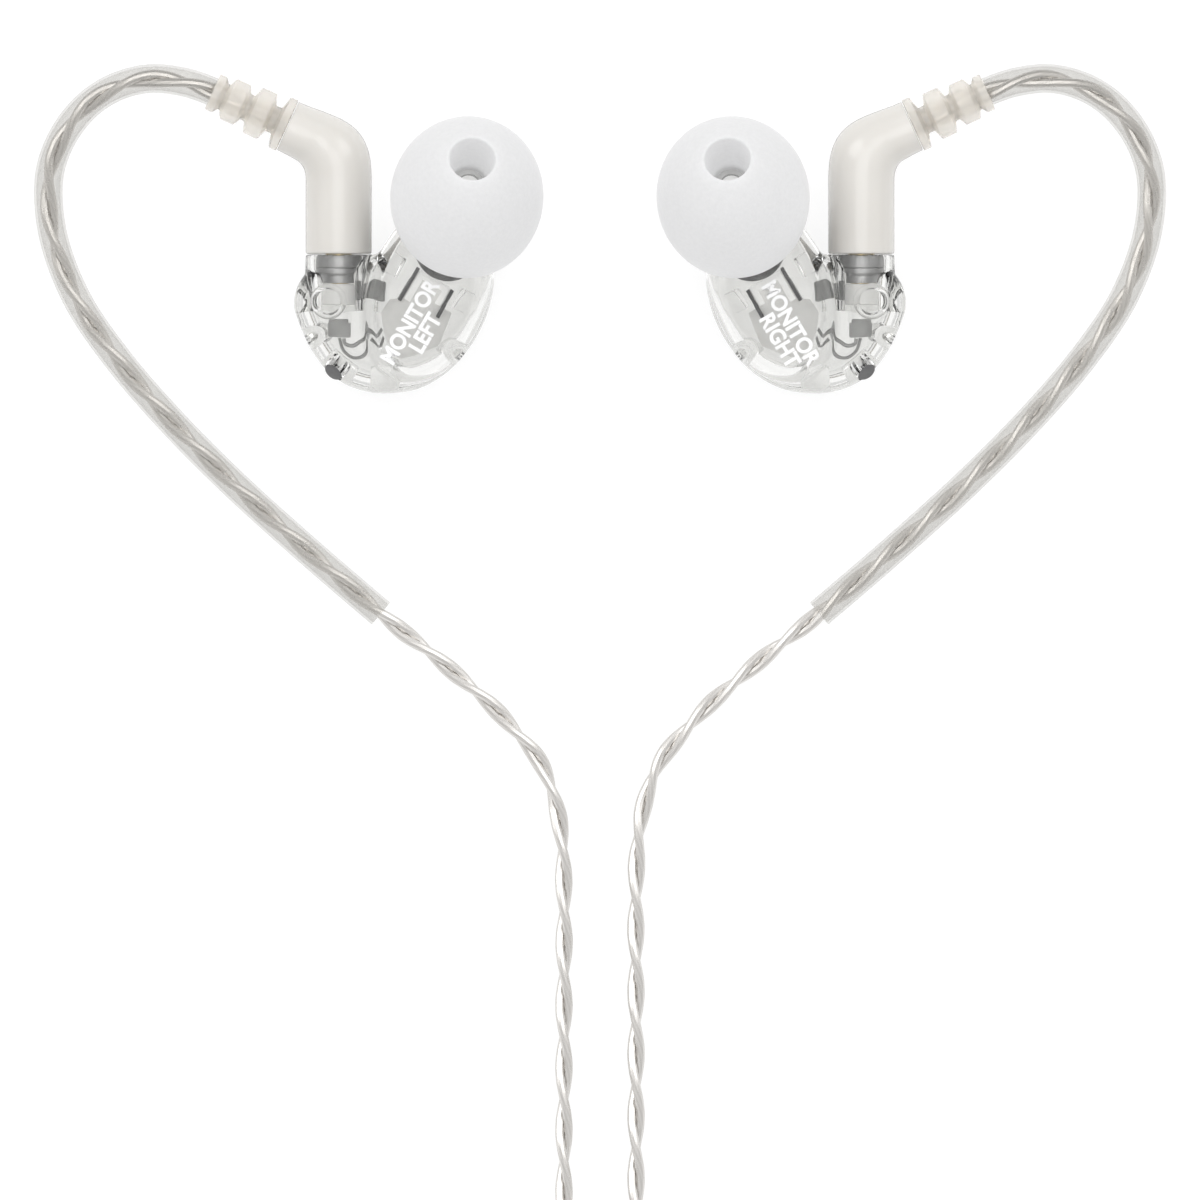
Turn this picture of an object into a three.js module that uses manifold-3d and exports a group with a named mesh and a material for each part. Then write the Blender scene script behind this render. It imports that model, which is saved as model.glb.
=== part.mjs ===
// A pair of in-ear monitors with a detachable cable, laid flat with their nozzles up.
// Millimetres, +Z up. The pair is symmetric about X = 0 apart from what lies on the trunk cable.
// The left earphone is modelled where it lies, at negative X; the right one is its mirror image.
import * as THREE from 'three';
import { mergeVertices } from 'three/addons/utils/BufferGeometryUtils.js';
import { ConvexGeometry } from 'three/addons/geometries/ConvexGeometry.js';
import Module from 'manifold-3d';

const wasm = await Module();
wasm.setup();

// ---- Driving dimensions ----
const UP = new THREE.Vector3(0, 0, 1);
const ALONG_Y = new THREE.Vector3(0, 1, 0);

// The connector axis, about which each earphone swivels on its cable. It runs along Y.
const SWIVEL_X = -21.75;
const SWIVEL_Z = 4.7;
const COLLAR_TOP_Y = 7.4;
const COLLAR_BOTTOM_Y = 2.7;
const COLLAR_R = 2.8;
const SOCKET_BORE_R = 2.1;

// The clear shell: two plan outlines, anticlockwise, each hulled through levels of [inset, height].
const SHELL_WALL = 0.9;
const PARTING_GAP = 0.1;
const OUTLINE_POINTS = 20;
const BODY_OUTLINE = [
  [-25.5, 3.6], [-24.8, 1.0], [-23.4, -1.5], [-21.6, -3.2], [-19.6, -4.0], [-17.5, -4.17],
  [-15, -3.75], [-12.5, -2.25], [-10.4, 0.3], [-9.2, 3], [-8.9, 6], [-10.6, 8],
  [-15, 8.1], [-20, 7.1], [-24.3, 6],
];
const BODY_LEVELS = [[2.2, 0], [0.6, 0.6], [0, 2.4], [0, 5.4], [0.6, 6.8], [1.7, 7.4]];
const RIDGE_OUTLINE = [
  [-18.9, 6.6], [-20, 2.5], [-19.2, -1.6], [-16.5, -3.4], [-13, -2.4], [-10.2, 1.2],
  [-8.8, 5.8], [-9.2, 8.9], [-11, 11], [-13.8, 11.4], [-16.4, 10.2], [-17.9, 8.3],
];
const RIDGE_LEVELS = [[2.2, 0], [0.6, 0.6], [0, 2.4], [0, 5.8], [0.6, 7.4], [1.8, 8.5]];
// Each screw boss as [x, y, radius], closed from wall to wall, and each clip lug as [x, y].
const BOSSES = [[-12.25, -0.5, 0.95], [-17.9, -2.75, 1.3], [-23.75, 0.6, 0.95]];
const BOSS_LOW = 0.3;
const BOSS_HIGH = 7.4;
const LUGS = [[-11.6, 3.7], [-16.75, 6.4]];
const LUG_Z = 7.2;
// The vent's middle on the side wall, and the way out through it.
const VENT_PLACE = new THREE.Vector3(-22.1, -2.3, 6.1);
const VENT_OUT = new THREE.Vector3(-0.5, -0.62, 0.6).normalize();
const VENT_R = 0.8;

// The ear tip is an egg about TIP_CENTRE, TIP_STRETCH times as tall as it is wide, on the nozzle axis,
// which leans from upright towards +Y.
const TIP_CENTRE = new THREE.Vector3(-11.05, 12.08, 15);
const NOZZLE_LEAN = THREE.MathUtils.degToRad(24);
const NOZZLE_TURN = THREE.MathUtils.degToRad(8.7);
const NOZZLE_AXIS = new THREE.Vector3(
  Math.sin(NOZZLE_LEAN) * Math.sin(NOZZLE_TURN),
  Math.sin(NOZZLE_LEAN) * Math.cos(NOZZLE_TURN),
  Math.cos(NOZZLE_LEAN),
);
const TIP_R = 6.36;
const TIP_STRETCH = 1.31;
const TIP_WALL = 0.7;
const TIP_BORE_R = 1.62;
const TIP_STEM_R = 2.35;
const TIP_STEM_TOP = 4.2;
const TIP_RIM_Y = -4.3;
const MOUTH_R = 1.95;
const MOUTH_DEPTH = 4.2;
const NOZZLE_R = 1.35;
const NOZZLE_BORE_R = 0.95;
const NOZZLE_END = 2.6;
const NOZZLE_ROOT = -5.6;

// The sound system inside the shell.
const DRIVER_CENTRE = new THREE.Vector3(-12.6, 7.75, 5.6);
const DRIVER_R = 2.5;
const DIAGONAL = THREE.MathUtils.degToRad(60);
const CAN_CENTRE = new THREE.Vector3(-15.5, 2.5, 3.8);
const CAN_SIZE = [5.4, 3.4, 1.8];
// The bracket's outline as [along, across] the shell's diagonal, about BRACKET_CENTRE.
const BRACKET_CENTRE = new THREE.Vector3(-14.58, 3.75, 4.85);
const BRACKET_THICK = 0.35;
const BRACKET_OUTLINE = [
  [-5.7, -0.75], [-2.8, -3], [0.2, -2.5], [0.2, -1.5], [1.9, -1.5], [1.9, 1.6], [-0.9, 1.6],
  [-1.35, 2.35], [-2.9, 2.7], [-4.3, 1.6],
];
const TERMINAL_SIZE = [2, 1.55, 2];
const TERMINAL_Y = 1.25;
const BOARD_SIZE = [0.8, 1.6, 2.6];
const BOARD_PLACE = new THREE.Vector3(-18.35, 4.4, 4.7);
const WIRE_R = 0.17;
const WIRE_ROUTES = {
  upper: [[-21.35, 0.15, 5.3], [-20.55, -0.2, 5.35], [-19.95, 0.15, 5.3], [-19.2, 0.5, 5.1],
    [-18.8, 1, 4.9]],
  lower: [[-21.75, 0.15, 4.7], [-21.5, -0.75, 4.6], [-20.7, -1.35, 4.5], [-19.95, -1.2, 4.5],
    [-19.2, -0.6, 4.5], [-18.75, 0.1, 4.5]],
};

// The elbow boot, measured along its bent axis from its lower end.
const BOOT_BOTTOM_Y = 7.6;
const LEG_R = 2.75;
const ARM_R = 2.2;
const BEND_R = 4.2;
const BEND_START = 5.87;
const BEND_ANGLE = THREE.MathUtils.degToRad(65.5);
const BEND_SWELL = 0.2;
const BOOT_LENGTH = 12.6;
// The strain relief's flange and ribs, each as [radius, from, to] along it, on a neck.
const RELIEF_NECK_R = 1.15;
const RELIEF_BORE_R = 0.92;
const RELIEF_SLOPE = 0.33;
const RELIEF_END = 6.9;
const RELIEF_FLANGE = [2.3, 0.12, 0.75];
const RELIEF_RIBS = [[2.06, 1.9, 3.2], [1.81, 4.2, 5.45], [1.6, 6.25, RELIEF_END]];

// Cable: two branches, a chin slider, a splitter, a trunk and a 3.5 mm plug.
const BRANCH_D = 1.5;
const SLEEVE_R = 1.2;
const SLEEVE_BORE_R = 1;
const TRUNK_D = 2.2;
const CORD_SIDES = 8;
const TIE_GAP = 0.3;
const BRANCH_X = -3;
const BRANCH_COIL = { x: -12.75, y: -97.5, r: 9, columns: 2, rows: 2, d: BRANCH_D };
const TRUNK_COIL = { x: -15.4, y: -138, r: 13.2, columns: 3, rows: 4, d: TRUNK_D };
const SLIDER_Y = -78;
const SPLITTER_TOP_Y = -106;
const SPLITTER_LENGTH = 17;
const SPLITTER_THICK = 4.6;
const PLUG_X = 19;
const PLUG_Z = 3.25;
const PLUG_RELIEF_Y = -151.5;

// The left branch from the strain relief to its coil. The first stretch, to SLEEVE_LAST, is in the sleeve.
const SLEEVE_LAST = new THREE.Vector3(-18.33, -22.39, 1.2);
const BRANCH_ROUTE = [
  [-34.6, 21.75, 4.5], [-37.5, 22.05, 4.1], [-40.2, 21.4, 3.6], [-42.5, 20, 3.1],
  [-44.4, 17.8, 2.6], [-45.6, 15.2, 2.1], [-45.96, 12.7, 1.75], [-45.46, 8.58, 1.35],
  [-43.5, 3.58, 1.22], [-40.08, -1.42, 1.2], [-35.75, -6.42, 1.2], [-30.79, -11.42, 1.2],
  [-25.29, -16.42, 1.2], [-19.5, -21.42, 1.2], [-16.5, -23.92, 1.1], [-14.33, -25.58, 0.9],
  [-11.38, -28.08, 0.8], [-9.2, -30, 0.8], [-7.08, -32.25, 0.8], [-5, -34.85, 0.8],
  [-3.75, -38.08, 0.8], [-3.15, -41.6, 0.8], [-3, -46, 0.8], [-3, -54, 0.8], [-3, -64, 0.8],
  [-3, -76, 0.8], [-3, -84, 0.85], [-3, -91.8, 1.02],
];
const TRUNK_END_ROUTE = [
  [0, -146.6, 7.3], [0.1, -151, 5.6], [0.9, -156, 3.4], [3, -160.5, 1.9], [6.8, -164.2, 1.2],
  [11, -165.2, 1.15], [15.2, -163.6, 1.3], [18, -159.6, 2], [19, -155, 2.9], [19, -151.8, 3.2],
];

// ---- Looks ----
const look = (color, roughness, metalness) =>
  new THREE.MeshStandardMaterial({ color, roughness, metalness });
const CLEAR = look('#e6e7e5', 0.06, 0);
const FROSTED = look('#dedcd6', 0.35, 0);
const SILICONE = look('#e4e4e4', 0.6, 0);
const GOLD = look('#c9a55c', 0.25, 1);
const STEEL = look('#8a8a8a', 0.3, 1);
const DARK = look('#4f5052', 0.45, 0);
const PALE = look('#cfcfca', 0.5, 0);
const CABLE = look('#c4c2be', 0.35, 0.5);
const WHITE = look('#e2e1dc', 0.4, 0);

// ---- Helpers ----

/** A point given as an array, or a vector, as a vector. */
const point = (p) => (p.isVector3 ? p.clone() : new THREE.Vector3(...p));

/** The point at a distance along the nozzle axis from the middle of the ear tip. */
const onNozzle = (distance) => TIP_CENTRE.clone().addScaledVector(NOZZLE_AXIS, distance);

/** A lathe turned about +Y from a profile of [radius, height] that is closed or ends on the axis. */
function turned(profile, sides) {
  const points = profile.map(([radius, height]) => new THREE.Vector2(radius, height));
  return outward(new THREE.LatheGeometry(points, sides));
}

/** A closed profile's last point joined to its first. */
const closed = (profile) => [...profile, profile[0]];

/** The same closed surface with merged vertices, no degenerate faces, and every face looking out. */
function outward(geometry) {
  const bare = geometry.clone();
  bare.deleteAttribute('normal');
  bare.deleteAttribute('uv');
  const merged = mergeVertices(bare, 1e-4);
  const position = merged.getAttribute('position');
  const index = merged.getIndex().array;
  const corners = [new THREE.Vector3(), new THREE.Vector3(), new THREE.Vector3()];
  const kept = [];
  let volume = 0;
  for (let i = 0; i < index.length; i += 3) {
    const [a, b, c] = index.slice(i, i + 3);
    if (a === b || b === c || c === a) continue;
    [a, b, c].forEach((vertex, k) => corners[k].fromBufferAttribute(position, vertex));
    volume += corners[0].dot(corners[1].cross(corners[2]));
    kept.push(a, b, c);
  }
  merged.setIndex(volume < 0 ? kept.reverse() : kept);
  return merged;
}

/** A closed geometry as a solid for cutting and joining. */
function solid(geometry) {
  const clean = outward(geometry);
  return new wasm.Manifold(new wasm.Mesh({
    numProp: 3,
    vertProperties: new Float32Array(clean.getAttribute('position').array),
    triVerts: new Uint32Array(clean.getIndex().array),
  }));
}

/** A cut or joined solid as a geometry again. */
function surface(made) {
  const mesh = made.getMesh();
  const geometry = new THREE.BufferGeometry();
  geometry.setAttribute('position', new THREE.BufferAttribute(mesh.vertProperties, 3));
  geometry.setIndex(new THREE.BufferAttribute(mesh.triVerts, 1));
  return geometry;
}

/** A geometry turned from +Y to a direction and moved to a place. */
function aimed(geometry, place, direction) {
  const turn = new THREE.Quaternion().setFromUnitVectors(ALONG_Y, direction);
  return geometry.clone().applyQuaternion(turn).translate(place.x, place.y, place.z);
}

/** A cylinder between two points. */
function rod(from, to, radius, sides = 14) {
  const span = to.clone().sub(from);
  const geometry = new THREE.CylinderGeometry(radius, radius, span.length(), sides);
  const middle = from.clone().addScaledVector(span, 0.5);
  return aimed(geometry, middle, span.normalize());
}

/** A regular polygon's points, for a round section. */
function roundPoints(radius, sides) {
  return Array.from({ length: sides }, (_, i) => {
    const angle = (2 * Math.PI * i) / sides;
    return new THREE.Vector2(radius * Math.cos(angle), radius * Math.sin(angle));
  });
}

/** A round tube or rod of constant section along a curve. */
function swept(curve, radius, steps, sides, boreRadius = 0) {
  const section = new THREE.Shape(roundPoints(radius, sides));
  if (boreRadius) section.holes.push(new THREE.Path(roundPoints(boreRadius, sides)));
  return outward(new THREE.ExtrudeGeometry(section, { steps, extrudePath: curve }));
}

/** The stretch of a curve between two shares of its length, as a curve. */
function stretch(curve, from, to, count) {
  const points = Array.from({ length: count + 1 }, (_, i) =>
    curve.getPointAt(THREE.MathUtils.lerp(from, to, i / count)));
  return new THREE.CatmullRomCurve3(points);
}

/** A flat plate of an outline of [x, y] points, from one height up to another. */
function plate(outline, low, high, bevel = 0) {
  const shape = new THREE.Shape(outline.map(([x, y]) => new THREE.Vector2(x, y)));
  const geometry = new THREE.ExtrudeGeometry(shape, {
    depth: high - low - 2 * bevel,
    bevelEnabled: bevel > 0,
    bevelThickness: bevel,
    bevelSize: bevel,
    bevelOffset: -bevel,
    bevelSegments: 2,
  });
  return outward(geometry.translate(0, 0, low + bevel));
}

/** A named mesh, turned from +Y to a direction and placed. */
function piece(name, geometry, material, place = new THREE.Vector3(), direction = ALONG_Y) {
  const mesh = new THREE.Mesh(geometry, material);
  mesh.name = name;
  mesh.position.copy(place);
  mesh.quaternion.setFromUnitVectors(ALONG_Y, direction);
  return mesh;
}

// ---- The shell ----

/** A level of a plan outline: the smooth closed curve through its points, moved in by an inset. */
function level(outline, inset, height) {
  const curve = new THREE.CatmullRomCurve3(outline.map(([x, y]) => new THREE.Vector3(x, y, 0)), true);
  return Array.from({ length: OUTLINE_POINTS }, (_, i) => {
    const share = i / OUTLINE_POINTS;
    const inward = UP.clone().cross(curve.getTangentAt(share));
    return curve.getPointAt(share).addScaledVector(inward, inset).setZ(height);
  });
}

/** The convex solid through an outline's levels, thinner by a wall all round. */
function hulled(outline, levels, wall, extra = []) {
  const points = levels.flatMap(([inset, height]) => {
    const towards = height < SWIVEL_Z ? wall : -wall;
    return level(outline, inset + wall, height + towards);
  });
  return solid(new ConvexGeometry([...points, ...extra]));
}

/** A ring of points about the nozzle axis. */
function nozzleRing(distance, radius) {
  const turn = new THREE.Quaternion().setFromUnitVectors(ALONG_Y, NOZZLE_AXIS);
  return roundPoints(radius, 12).map((p) =>
    new THREE.Vector3(p.x, 0, p.y).applyQuaternion(turn).add(onNozzle(distance)));
}

/** The nozzle tube with its barb, before it is bored. */
function nozzleTube() {
  const barb = NOZZLE_R + 0.12;
  const profile = [
    [0, NOZZLE_ROOT - 0.8], [NOZZLE_R, NOZZLE_ROOT - 0.8], [NOZZLE_R, 0.6], [barb, 0.8],
    [barb, 1.3], [NOZZLE_R, 1.9], [NOZZLE_R, NOZZLE_END], [0, NOZZLE_END],
  ];
  return solid(aimed(turned(profile, 14), TIP_CENTRE, NOZZLE_AXIS));
}

/** The whole hollow shell, with its socket holder, bosses, lugs, nozzle and vent hole. */
function wholeShell() {
  const collar = solid(rod(
    new THREE.Vector3(SWIVEL_X, COLLAR_BOTTOM_Y, SWIVEL_Z),
    new THREE.Vector3(SWIVEL_X, COLLAR_TOP_Y, SWIVEL_Z), COLLAR_R, 18));
  const body = hulled(BODY_OUTLINE, BODY_LEVELS, 0);
  const ridge = hulled(RIDGE_OUTLINE, RIDGE_LEVELS, 0, nozzleRing(NOZZLE_ROOT, 2.2));
  const bodyRoom = hulled(BODY_OUTLINE, BODY_LEVELS, SHELL_WALL);
  const ridgeRoom = hulled(RIDGE_OUTLINE, RIDGE_LEVELS, SHELL_WALL, nozzleRing(NOZZLE_ROOT - 1.3, 1.2));
  const outside = body.add(ridge);
  let shell = outside.subtract(bodyRoom.add(ridgeRoom));
  for (const [x, y, radius] of BOSSES) {
    const boss = rod(new THREE.Vector3(x, y, BOSS_LOW), new THREE.Vector3(x, y, BOSS_HIGH), radius, 8);
    shell = shell.add(solid(boss).intersect(outside));
  }
  for (const [x, y] of LUGS) {
    const lug = new THREE.BoxGeometry(1.8, 1.1, 2.2).rotateZ(DIAGONAL).translate(x, y, LUG_Z);
    shell = shell.add(solid(lug).intersect(outside));
  }
  shell = shell.add(collar).add(nozzleTube());
  const bore = rod(
    new THREE.Vector3(SWIVEL_X, COLLAR_BOTTOM_Y - 1, SWIVEL_Z),
    new THREE.Vector3(SWIVEL_X, COLLAR_TOP_Y + 1, SWIVEL_Z), SOCKET_BORE_R, 18);
  const soundBore = rod(onNozzle(NOZZLE_ROOT - 2), onNozzle(NOZZLE_END + 1), NOZZLE_BORE_R);
  const ventHole = rod(
    VENT_PLACE.clone().addScaledVector(VENT_OUT, -1.6),
    VENT_PLACE.clone().addScaledVector(VENT_OUT, 2), VENT_R + 0.1, 10);
  return shell.subtract(solid(bore)).subtract(solid(soundBore)).subtract(solid(ventHole));
}

/** The part of the shell between two heights. */
function shellBetween(low, high) {
  const box = new THREE.BoxGeometry(60, 60, high - low).translate(-20, 0, (low + high) / 2);
  return surface(shell.intersect(solid(box)));
}

const shell = wholeShell();

function shellPieces(side) {
  const half = PARTING_GAP / 2;
  return [
    piece(`${side}_face_shell`, shellBetween(-1, SWIVEL_Z - half), CLEAR),
    piece(`${side}_nozzle_shell`, shellBetween(SWIVEL_Z + half, 30), CLEAR),
  ];
}

// ---- The ear tip ----

/** An arc of a circle about the origin as [radius, height] points, between two angles in degrees. */
function arc(radius, from, to, count) {
  return Array.from({ length: count + 1 }, (_, i) => {
    const angle = THREE.MathUtils.degToRad(THREE.MathUtils.lerp(from, to, i / count));
    return [radius * Math.cos(angle), radius * Math.sin(angle)];
  });
}

/** A profile made taller by TIP_STRETCH. */
const stretched = (profile) => profile.map(([radius, height]) => [radius, height * TIP_STRETCH]);

function earTip() {
  const rimAngle = THREE.MathUtils.radToDeg(Math.asin(TIP_RIM_Y / TIP_STRETCH / TIP_R));
  const mouthY = TIP_STRETCH * Math.sqrt(TIP_R ** 2 - MOUTH_R ** 2);
  return turned(closed([
    ...stretched(arc(TIP_R, rimAngle, 68, 8)),
    [MOUTH_R, mouthY - 0.05],
    [MOUTH_R - 0.2, mouthY - 1],
    [TIP_BORE_R, mouthY - MOUTH_DEPTH],
    [TIP_BORE_R, TIP_RIM_Y - 0.3],
    [TIP_STEM_R, TIP_RIM_Y - 0.3],
    [TIP_STEM_R, TIP_STEM_TOP],
    ...stretched(arc(TIP_R - TIP_WALL, 50, rimAngle - 2, 4)),
  ]), 18);
}

// ---- The sound system ----

function driverPieces(side) {
  const inner = DRIVER_R - 0.35;
  const cup = [
    [0, -0.9], [inner, -0.9], [DRIVER_R, -0.5], [DRIVER_R, 0.9], [inner, 0.9], [inner, 0.35], [0, 0.35],
  ];
  const edge = inner - 0.15;
  const diaphragm = [[0, 0.5], [edge, 0.45], [edge, 0.6], [1.3, 0.85], [1, 0.7], [0, 0.95]];
  const magnet = [[0, -1.9], [1.2, -1.9], [1.4, -1.7], [1.4, -1], [0, -1]];
  return [
    piece(`${side}_driver_cup`, turned(cup, 16), DARK, DRIVER_CENTRE, NOZZLE_AXIS),
    piece(`${side}_driver_diaphragm`, turned(diaphragm, 14), PALE, DRIVER_CENTRE, NOZZLE_AXIS),
    piece(`${side}_driver_magnet`, turned(magnet, 12), STEEL, DRIVER_CENTRE, NOZZLE_AXIS),
  ];
}

/** The second driver, a balanced armature in a flat metal can, and the bracket over it. */
function armaturePieces(side) {
  const can = new THREE.BoxGeometry(...CAN_SIZE);
  const bracket = plate(BRACKET_OUTLINE, 0, BRACKET_THICK);
  const canMesh = piece(`${side}_armature_driver`, can, STEEL, CAN_CENTRE);
  const bracketMesh = piece(`${side}_driver_bracket`, bracket, PALE, BRACKET_CENTRE);
  canMesh.rotation.z = DIAGONAL;
  bracketMesh.rotation.z = DIAGONAL;
  return [canMesh, bracketMesh];
}

/** The two signal wires from the socket's terminal to the bracket. */
function wirePieces(side) {
  return Object.entries(WIRE_ROUTES).map(([name, route]) => {
    const curve = new THREE.CatmullRomCurve3(route.map(point));
    return piece(`${side}_${name}_wire`, swept(curve, WIRE_R, 10, 5), DARK);
  });
}

function smallInnerPieces(side) {
  const filter = [[0, -0.12], [0.86, -0.12], [0.86, 0.12], [0, 0.12]];
  const vent = [[0, -0.2], [VENT_R, -0.2], [VENT_R, 0.2], [0, 0.2]];
  const terminal = new THREE.BoxGeometry(...TERMINAL_SIZE);
  const board = new THREE.BoxGeometry(...BOARD_SIZE);
  return [
    piece(`${side}_nozzle_filter`, turned(filter, 10), STEEL, onNozzle(2.1), NOZZLE_AXIS),
    piece(`${side}_vent_mesh`, turned(vent, 10), DARK, VENT_PLACE, VENT_OUT),
    piece(`${side}_socket_terminal`, terminal, DARK, new THREE.Vector3(SWIVEL_X, TERMINAL_Y, SWIVEL_Z)),
    piece(`${side}_crossover_board`, board, DARK, BOARD_PLACE),
  ];
}

// ---- The coaxial connector, all turned about the swivel axis ----

function connectorPieces(side) {
  const axis = new THREE.Vector3(SWIVEL_X, 0, SWIVEL_Z);
  const socket = [
    [0, 3.2], [1.95, 3.2], [1.95, 4.5], [1.7, 4.55], [1.7, 4.9], [1.95, 4.95], [1.95, 5.85],
    [1.8, 5.9], [1.8, 7.2], [1.5, 7.2], [1.5, 4], [0.55, 4], [0.55, 5.6], [0.38, 5.6], [0.38, 3.8],
    [0, 3.8],
  ];
  const snapRing = closed([[1.2, 5], [1.38, 5.05], [1.38, 5.35], [1.2, 5.4]]);
  const barrel = closed([[1, 4.5], [1.1, 4.65], [1.1, 10.3], [0.75, 10.3], [0.75, 4.5]]);
  const pin = [[0, 4.6], [0.15, 4.65], [0.2, 4.9], [0.2, 10.1], [0, 10.1]];
  return [
    piece(`${side}_connector_socket`, turned(socket, 14), STEEL, axis),
    piece(`${side}_snap_ring`, turned(snapRing, 14), GOLD, axis),
    piece(`${side}_connector_barrel`, turned(barrel, 12), GOLD, axis),
    piece(`${side}_connector_pin`, turned(pin, 6), GOLD, axis),
  ];
}

// ---- The elbow boot and its strain relief ----

/** Where the boot's bent axis is at a distance along it, and which way it points. */
function elbow(distance) {
  const turn = THREE.MathUtils.clamp((distance - BEND_START) / BEND_R, 0, BEND_ANGLE);
  const ahead = new THREE.Vector3(-Math.sin(turn), Math.cos(turn), 0);
  const straight = Math.min(distance, BEND_START);
  const place = new THREE.Vector3(
    SWIVEL_X - BEND_R * (1 - Math.cos(turn)),
    BOOT_BOTTOM_Y + straight + BEND_R * Math.sin(turn), SWIVEL_Z);
  const arm = Math.max(0, distance - BEND_START - BEND_R * BEND_ANGLE);
  return { place: place.addScaledVector(ahead, arm), ahead };
}

/** How much fuller the boot is at a distance along it, towards the outside of its bend. */
function swell(distance) {
  const share = THREE.MathUtils.clamp((distance - BEND_START) / (BEND_R * BEND_ANGLE), 0, 1);
  return BEND_SWELL * Math.sin(Math.PI * share) ** 2;
}

/** A straight lathe about +Y bent along the elbow's axis. */
function bent(geometry) {
  const position = geometry.getAttribute('position');
  for (let i = 0; i < position.count; i += 1) {
    const { place, ahead } = elbow(position.getY(i));
    const across = new THREE.Vector3(ahead.y, -ahead.x, 0);
    place.addScaledVector(across, position.getX(i) + swell(position.getY(i)));
    place.addScaledVector(UP, position.getZ(i));
    position.setXYZ(i, place.x, place.y, place.z);
  }
  return outward(geometry);
}

function boot() {
  const steps = 9;
  const side = Array.from({ length: steps + 1 }, (_, i) => {
    const share = i / steps;
    const height = THREE.MathUtils.lerp(BEND_START, BOOT_LENGTH, share);
    const radius = THREE.MathUtils.lerp(LEG_R, ARM_R, THREE.MathUtils.smoothstep(share, 0, 1));
    return [radius + swell(height), height];
  });
  return bent(turned([
    [0, 3], [1.3, 3], [1.3, 0], [LEG_R - 0.2, 0], [LEG_R, 0.2], ...side, [0, BOOT_LENGTH],
  ], 16));
}

/** The ribbed strain relief, from its flange on the boot to its end collar. */
function strainRelief() {
  const [flangeR, flangeFrom, flangeTo] = RELIEF_FLANGE;
  const rings = RELIEF_RIBS.flatMap(([radius, from, to]) => [
    [RELIEF_NECK_R, from - RELIEF_SLOPE], [radius, from], [radius, to],
    ...(to < RELIEF_END ? [[RELIEF_NECK_R, to + RELIEF_SLOPE]] : []),
  ]);
  return turned(closed([
    [RELIEF_BORE_R, flangeFrom], [flangeR, flangeFrom], [flangeR, flangeTo],
    [RELIEF_NECK_R, flangeTo + RELIEF_SLOPE], ...rings, [RELIEF_BORE_R, RELIEF_END],
  ]), 12);
}

// ---- The cable ----

/** The branch's smooth route, which starts in the strain relief, in line with the boot's arm. */
function branchCurve() {
  const { place, ahead } = elbow(BOOT_LENGTH);
  const first = [0.4, 3.6, RELIEF_END].map((distance) => place.clone().addScaledVector(ahead, distance));
  return new THREE.CatmullRomCurve3([...first, ...BRANCH_ROUTE.map(point)]);
}

/** The share of a curve's length at which it comes nearest to a point. */
function shareNearest(curve, target) {
  const shares = Array.from({ length: 1001 }, (_, i) => i / 1000);
  const away = (share) => curve.getPointAt(share).distanceTo(target);
  return shares.reduce((best, share) => (away(share) < away(best) ? share : best));
}

/** The outer shape of a coil: a ring as wide and as high as its columns and rows of turns. */
function coilRing({ r, columns, rows, d }) {
  const half = (columns * d) / 2;
  const ring = [[r - half, TIE_GAP], [r + half, TIE_GAP], [r + half, TIE_GAP + rows * d],
    [r - half, TIE_GAP + rows * d]];
  return turned(closed(ring), 24).rotateX(Math.PI / 2);
}

function branchPieces(side) {
  const curve = branchCurve();
  const reliefEnd = elbow(BOOT_LENGTH);
  const sleeveStart = shareNearest(curve,
    reliefEnd.place.clone().addScaledVector(reliefEnd.ahead, RELIEF_END + 0.25));
  const sleeveEnd = shareNearest(curve, SLEEVE_LAST);
  const sleeve = stretch(curve, sleeveStart, sleeveEnd, 36);
  const { x, y } = BRANCH_COIL;
  const end = new THREE.LineCurve3(
    new THREE.Vector3(BRANCH_X, -103.3, 2.5), new THREE.Vector3(BRANCH_X, SPLITTER_TOP_Y - 1.5, 2.35));
  return [
    piece(`${side}_hook_sleeve`, swept(sleeve, SLEEVE_R, 24, 8, SLEEVE_BORE_R), CLEAR),
    piece(`${side}_branch_cord`, swept(curve, BRANCH_D / 2, 50, CORD_SIDES), CABLE),
    piece(`${side}_branch_coil`, coilRing(BRANCH_COIL), CABLE, new THREE.Vector3(x, y, 0)),
    piece(`${side}_branch_end`, swept(end, BRANCH_D / 2, 2, CORD_SIDES), CABLE),
  ];
}

/** The chin slider: a flat bead with two channels that clip over the branches from above. */
function chinSlider() {
  const half = 5.5;
  const rim = 4.5;
  const outline = [
    [-half, -rim + 1.2], [-half + 1.2, -rim], [half - 1.2, -rim], [half, -rim + 1.2],
    [half, rim - 1.2], [half - 1.2, rim], [-half + 1.2, rim], [-half, rim - 1.2],
  ];
  let bead = solid(plate(outline, 0, 3, 0.4));
  for (const x of [BRANCH_X, -BRANCH_X]) {
    const channel = new THREE.BoxGeometry(2 * SLEEVE_BORE_R, 12, 3.5).translate(x, 0, 0);
    bead = bead.subtract(solid(channel));
  }
  return piece('chin_slider', surface(bead), WHITE, new THREE.Vector3(0, SLIDER_Y, 0));
}

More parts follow.
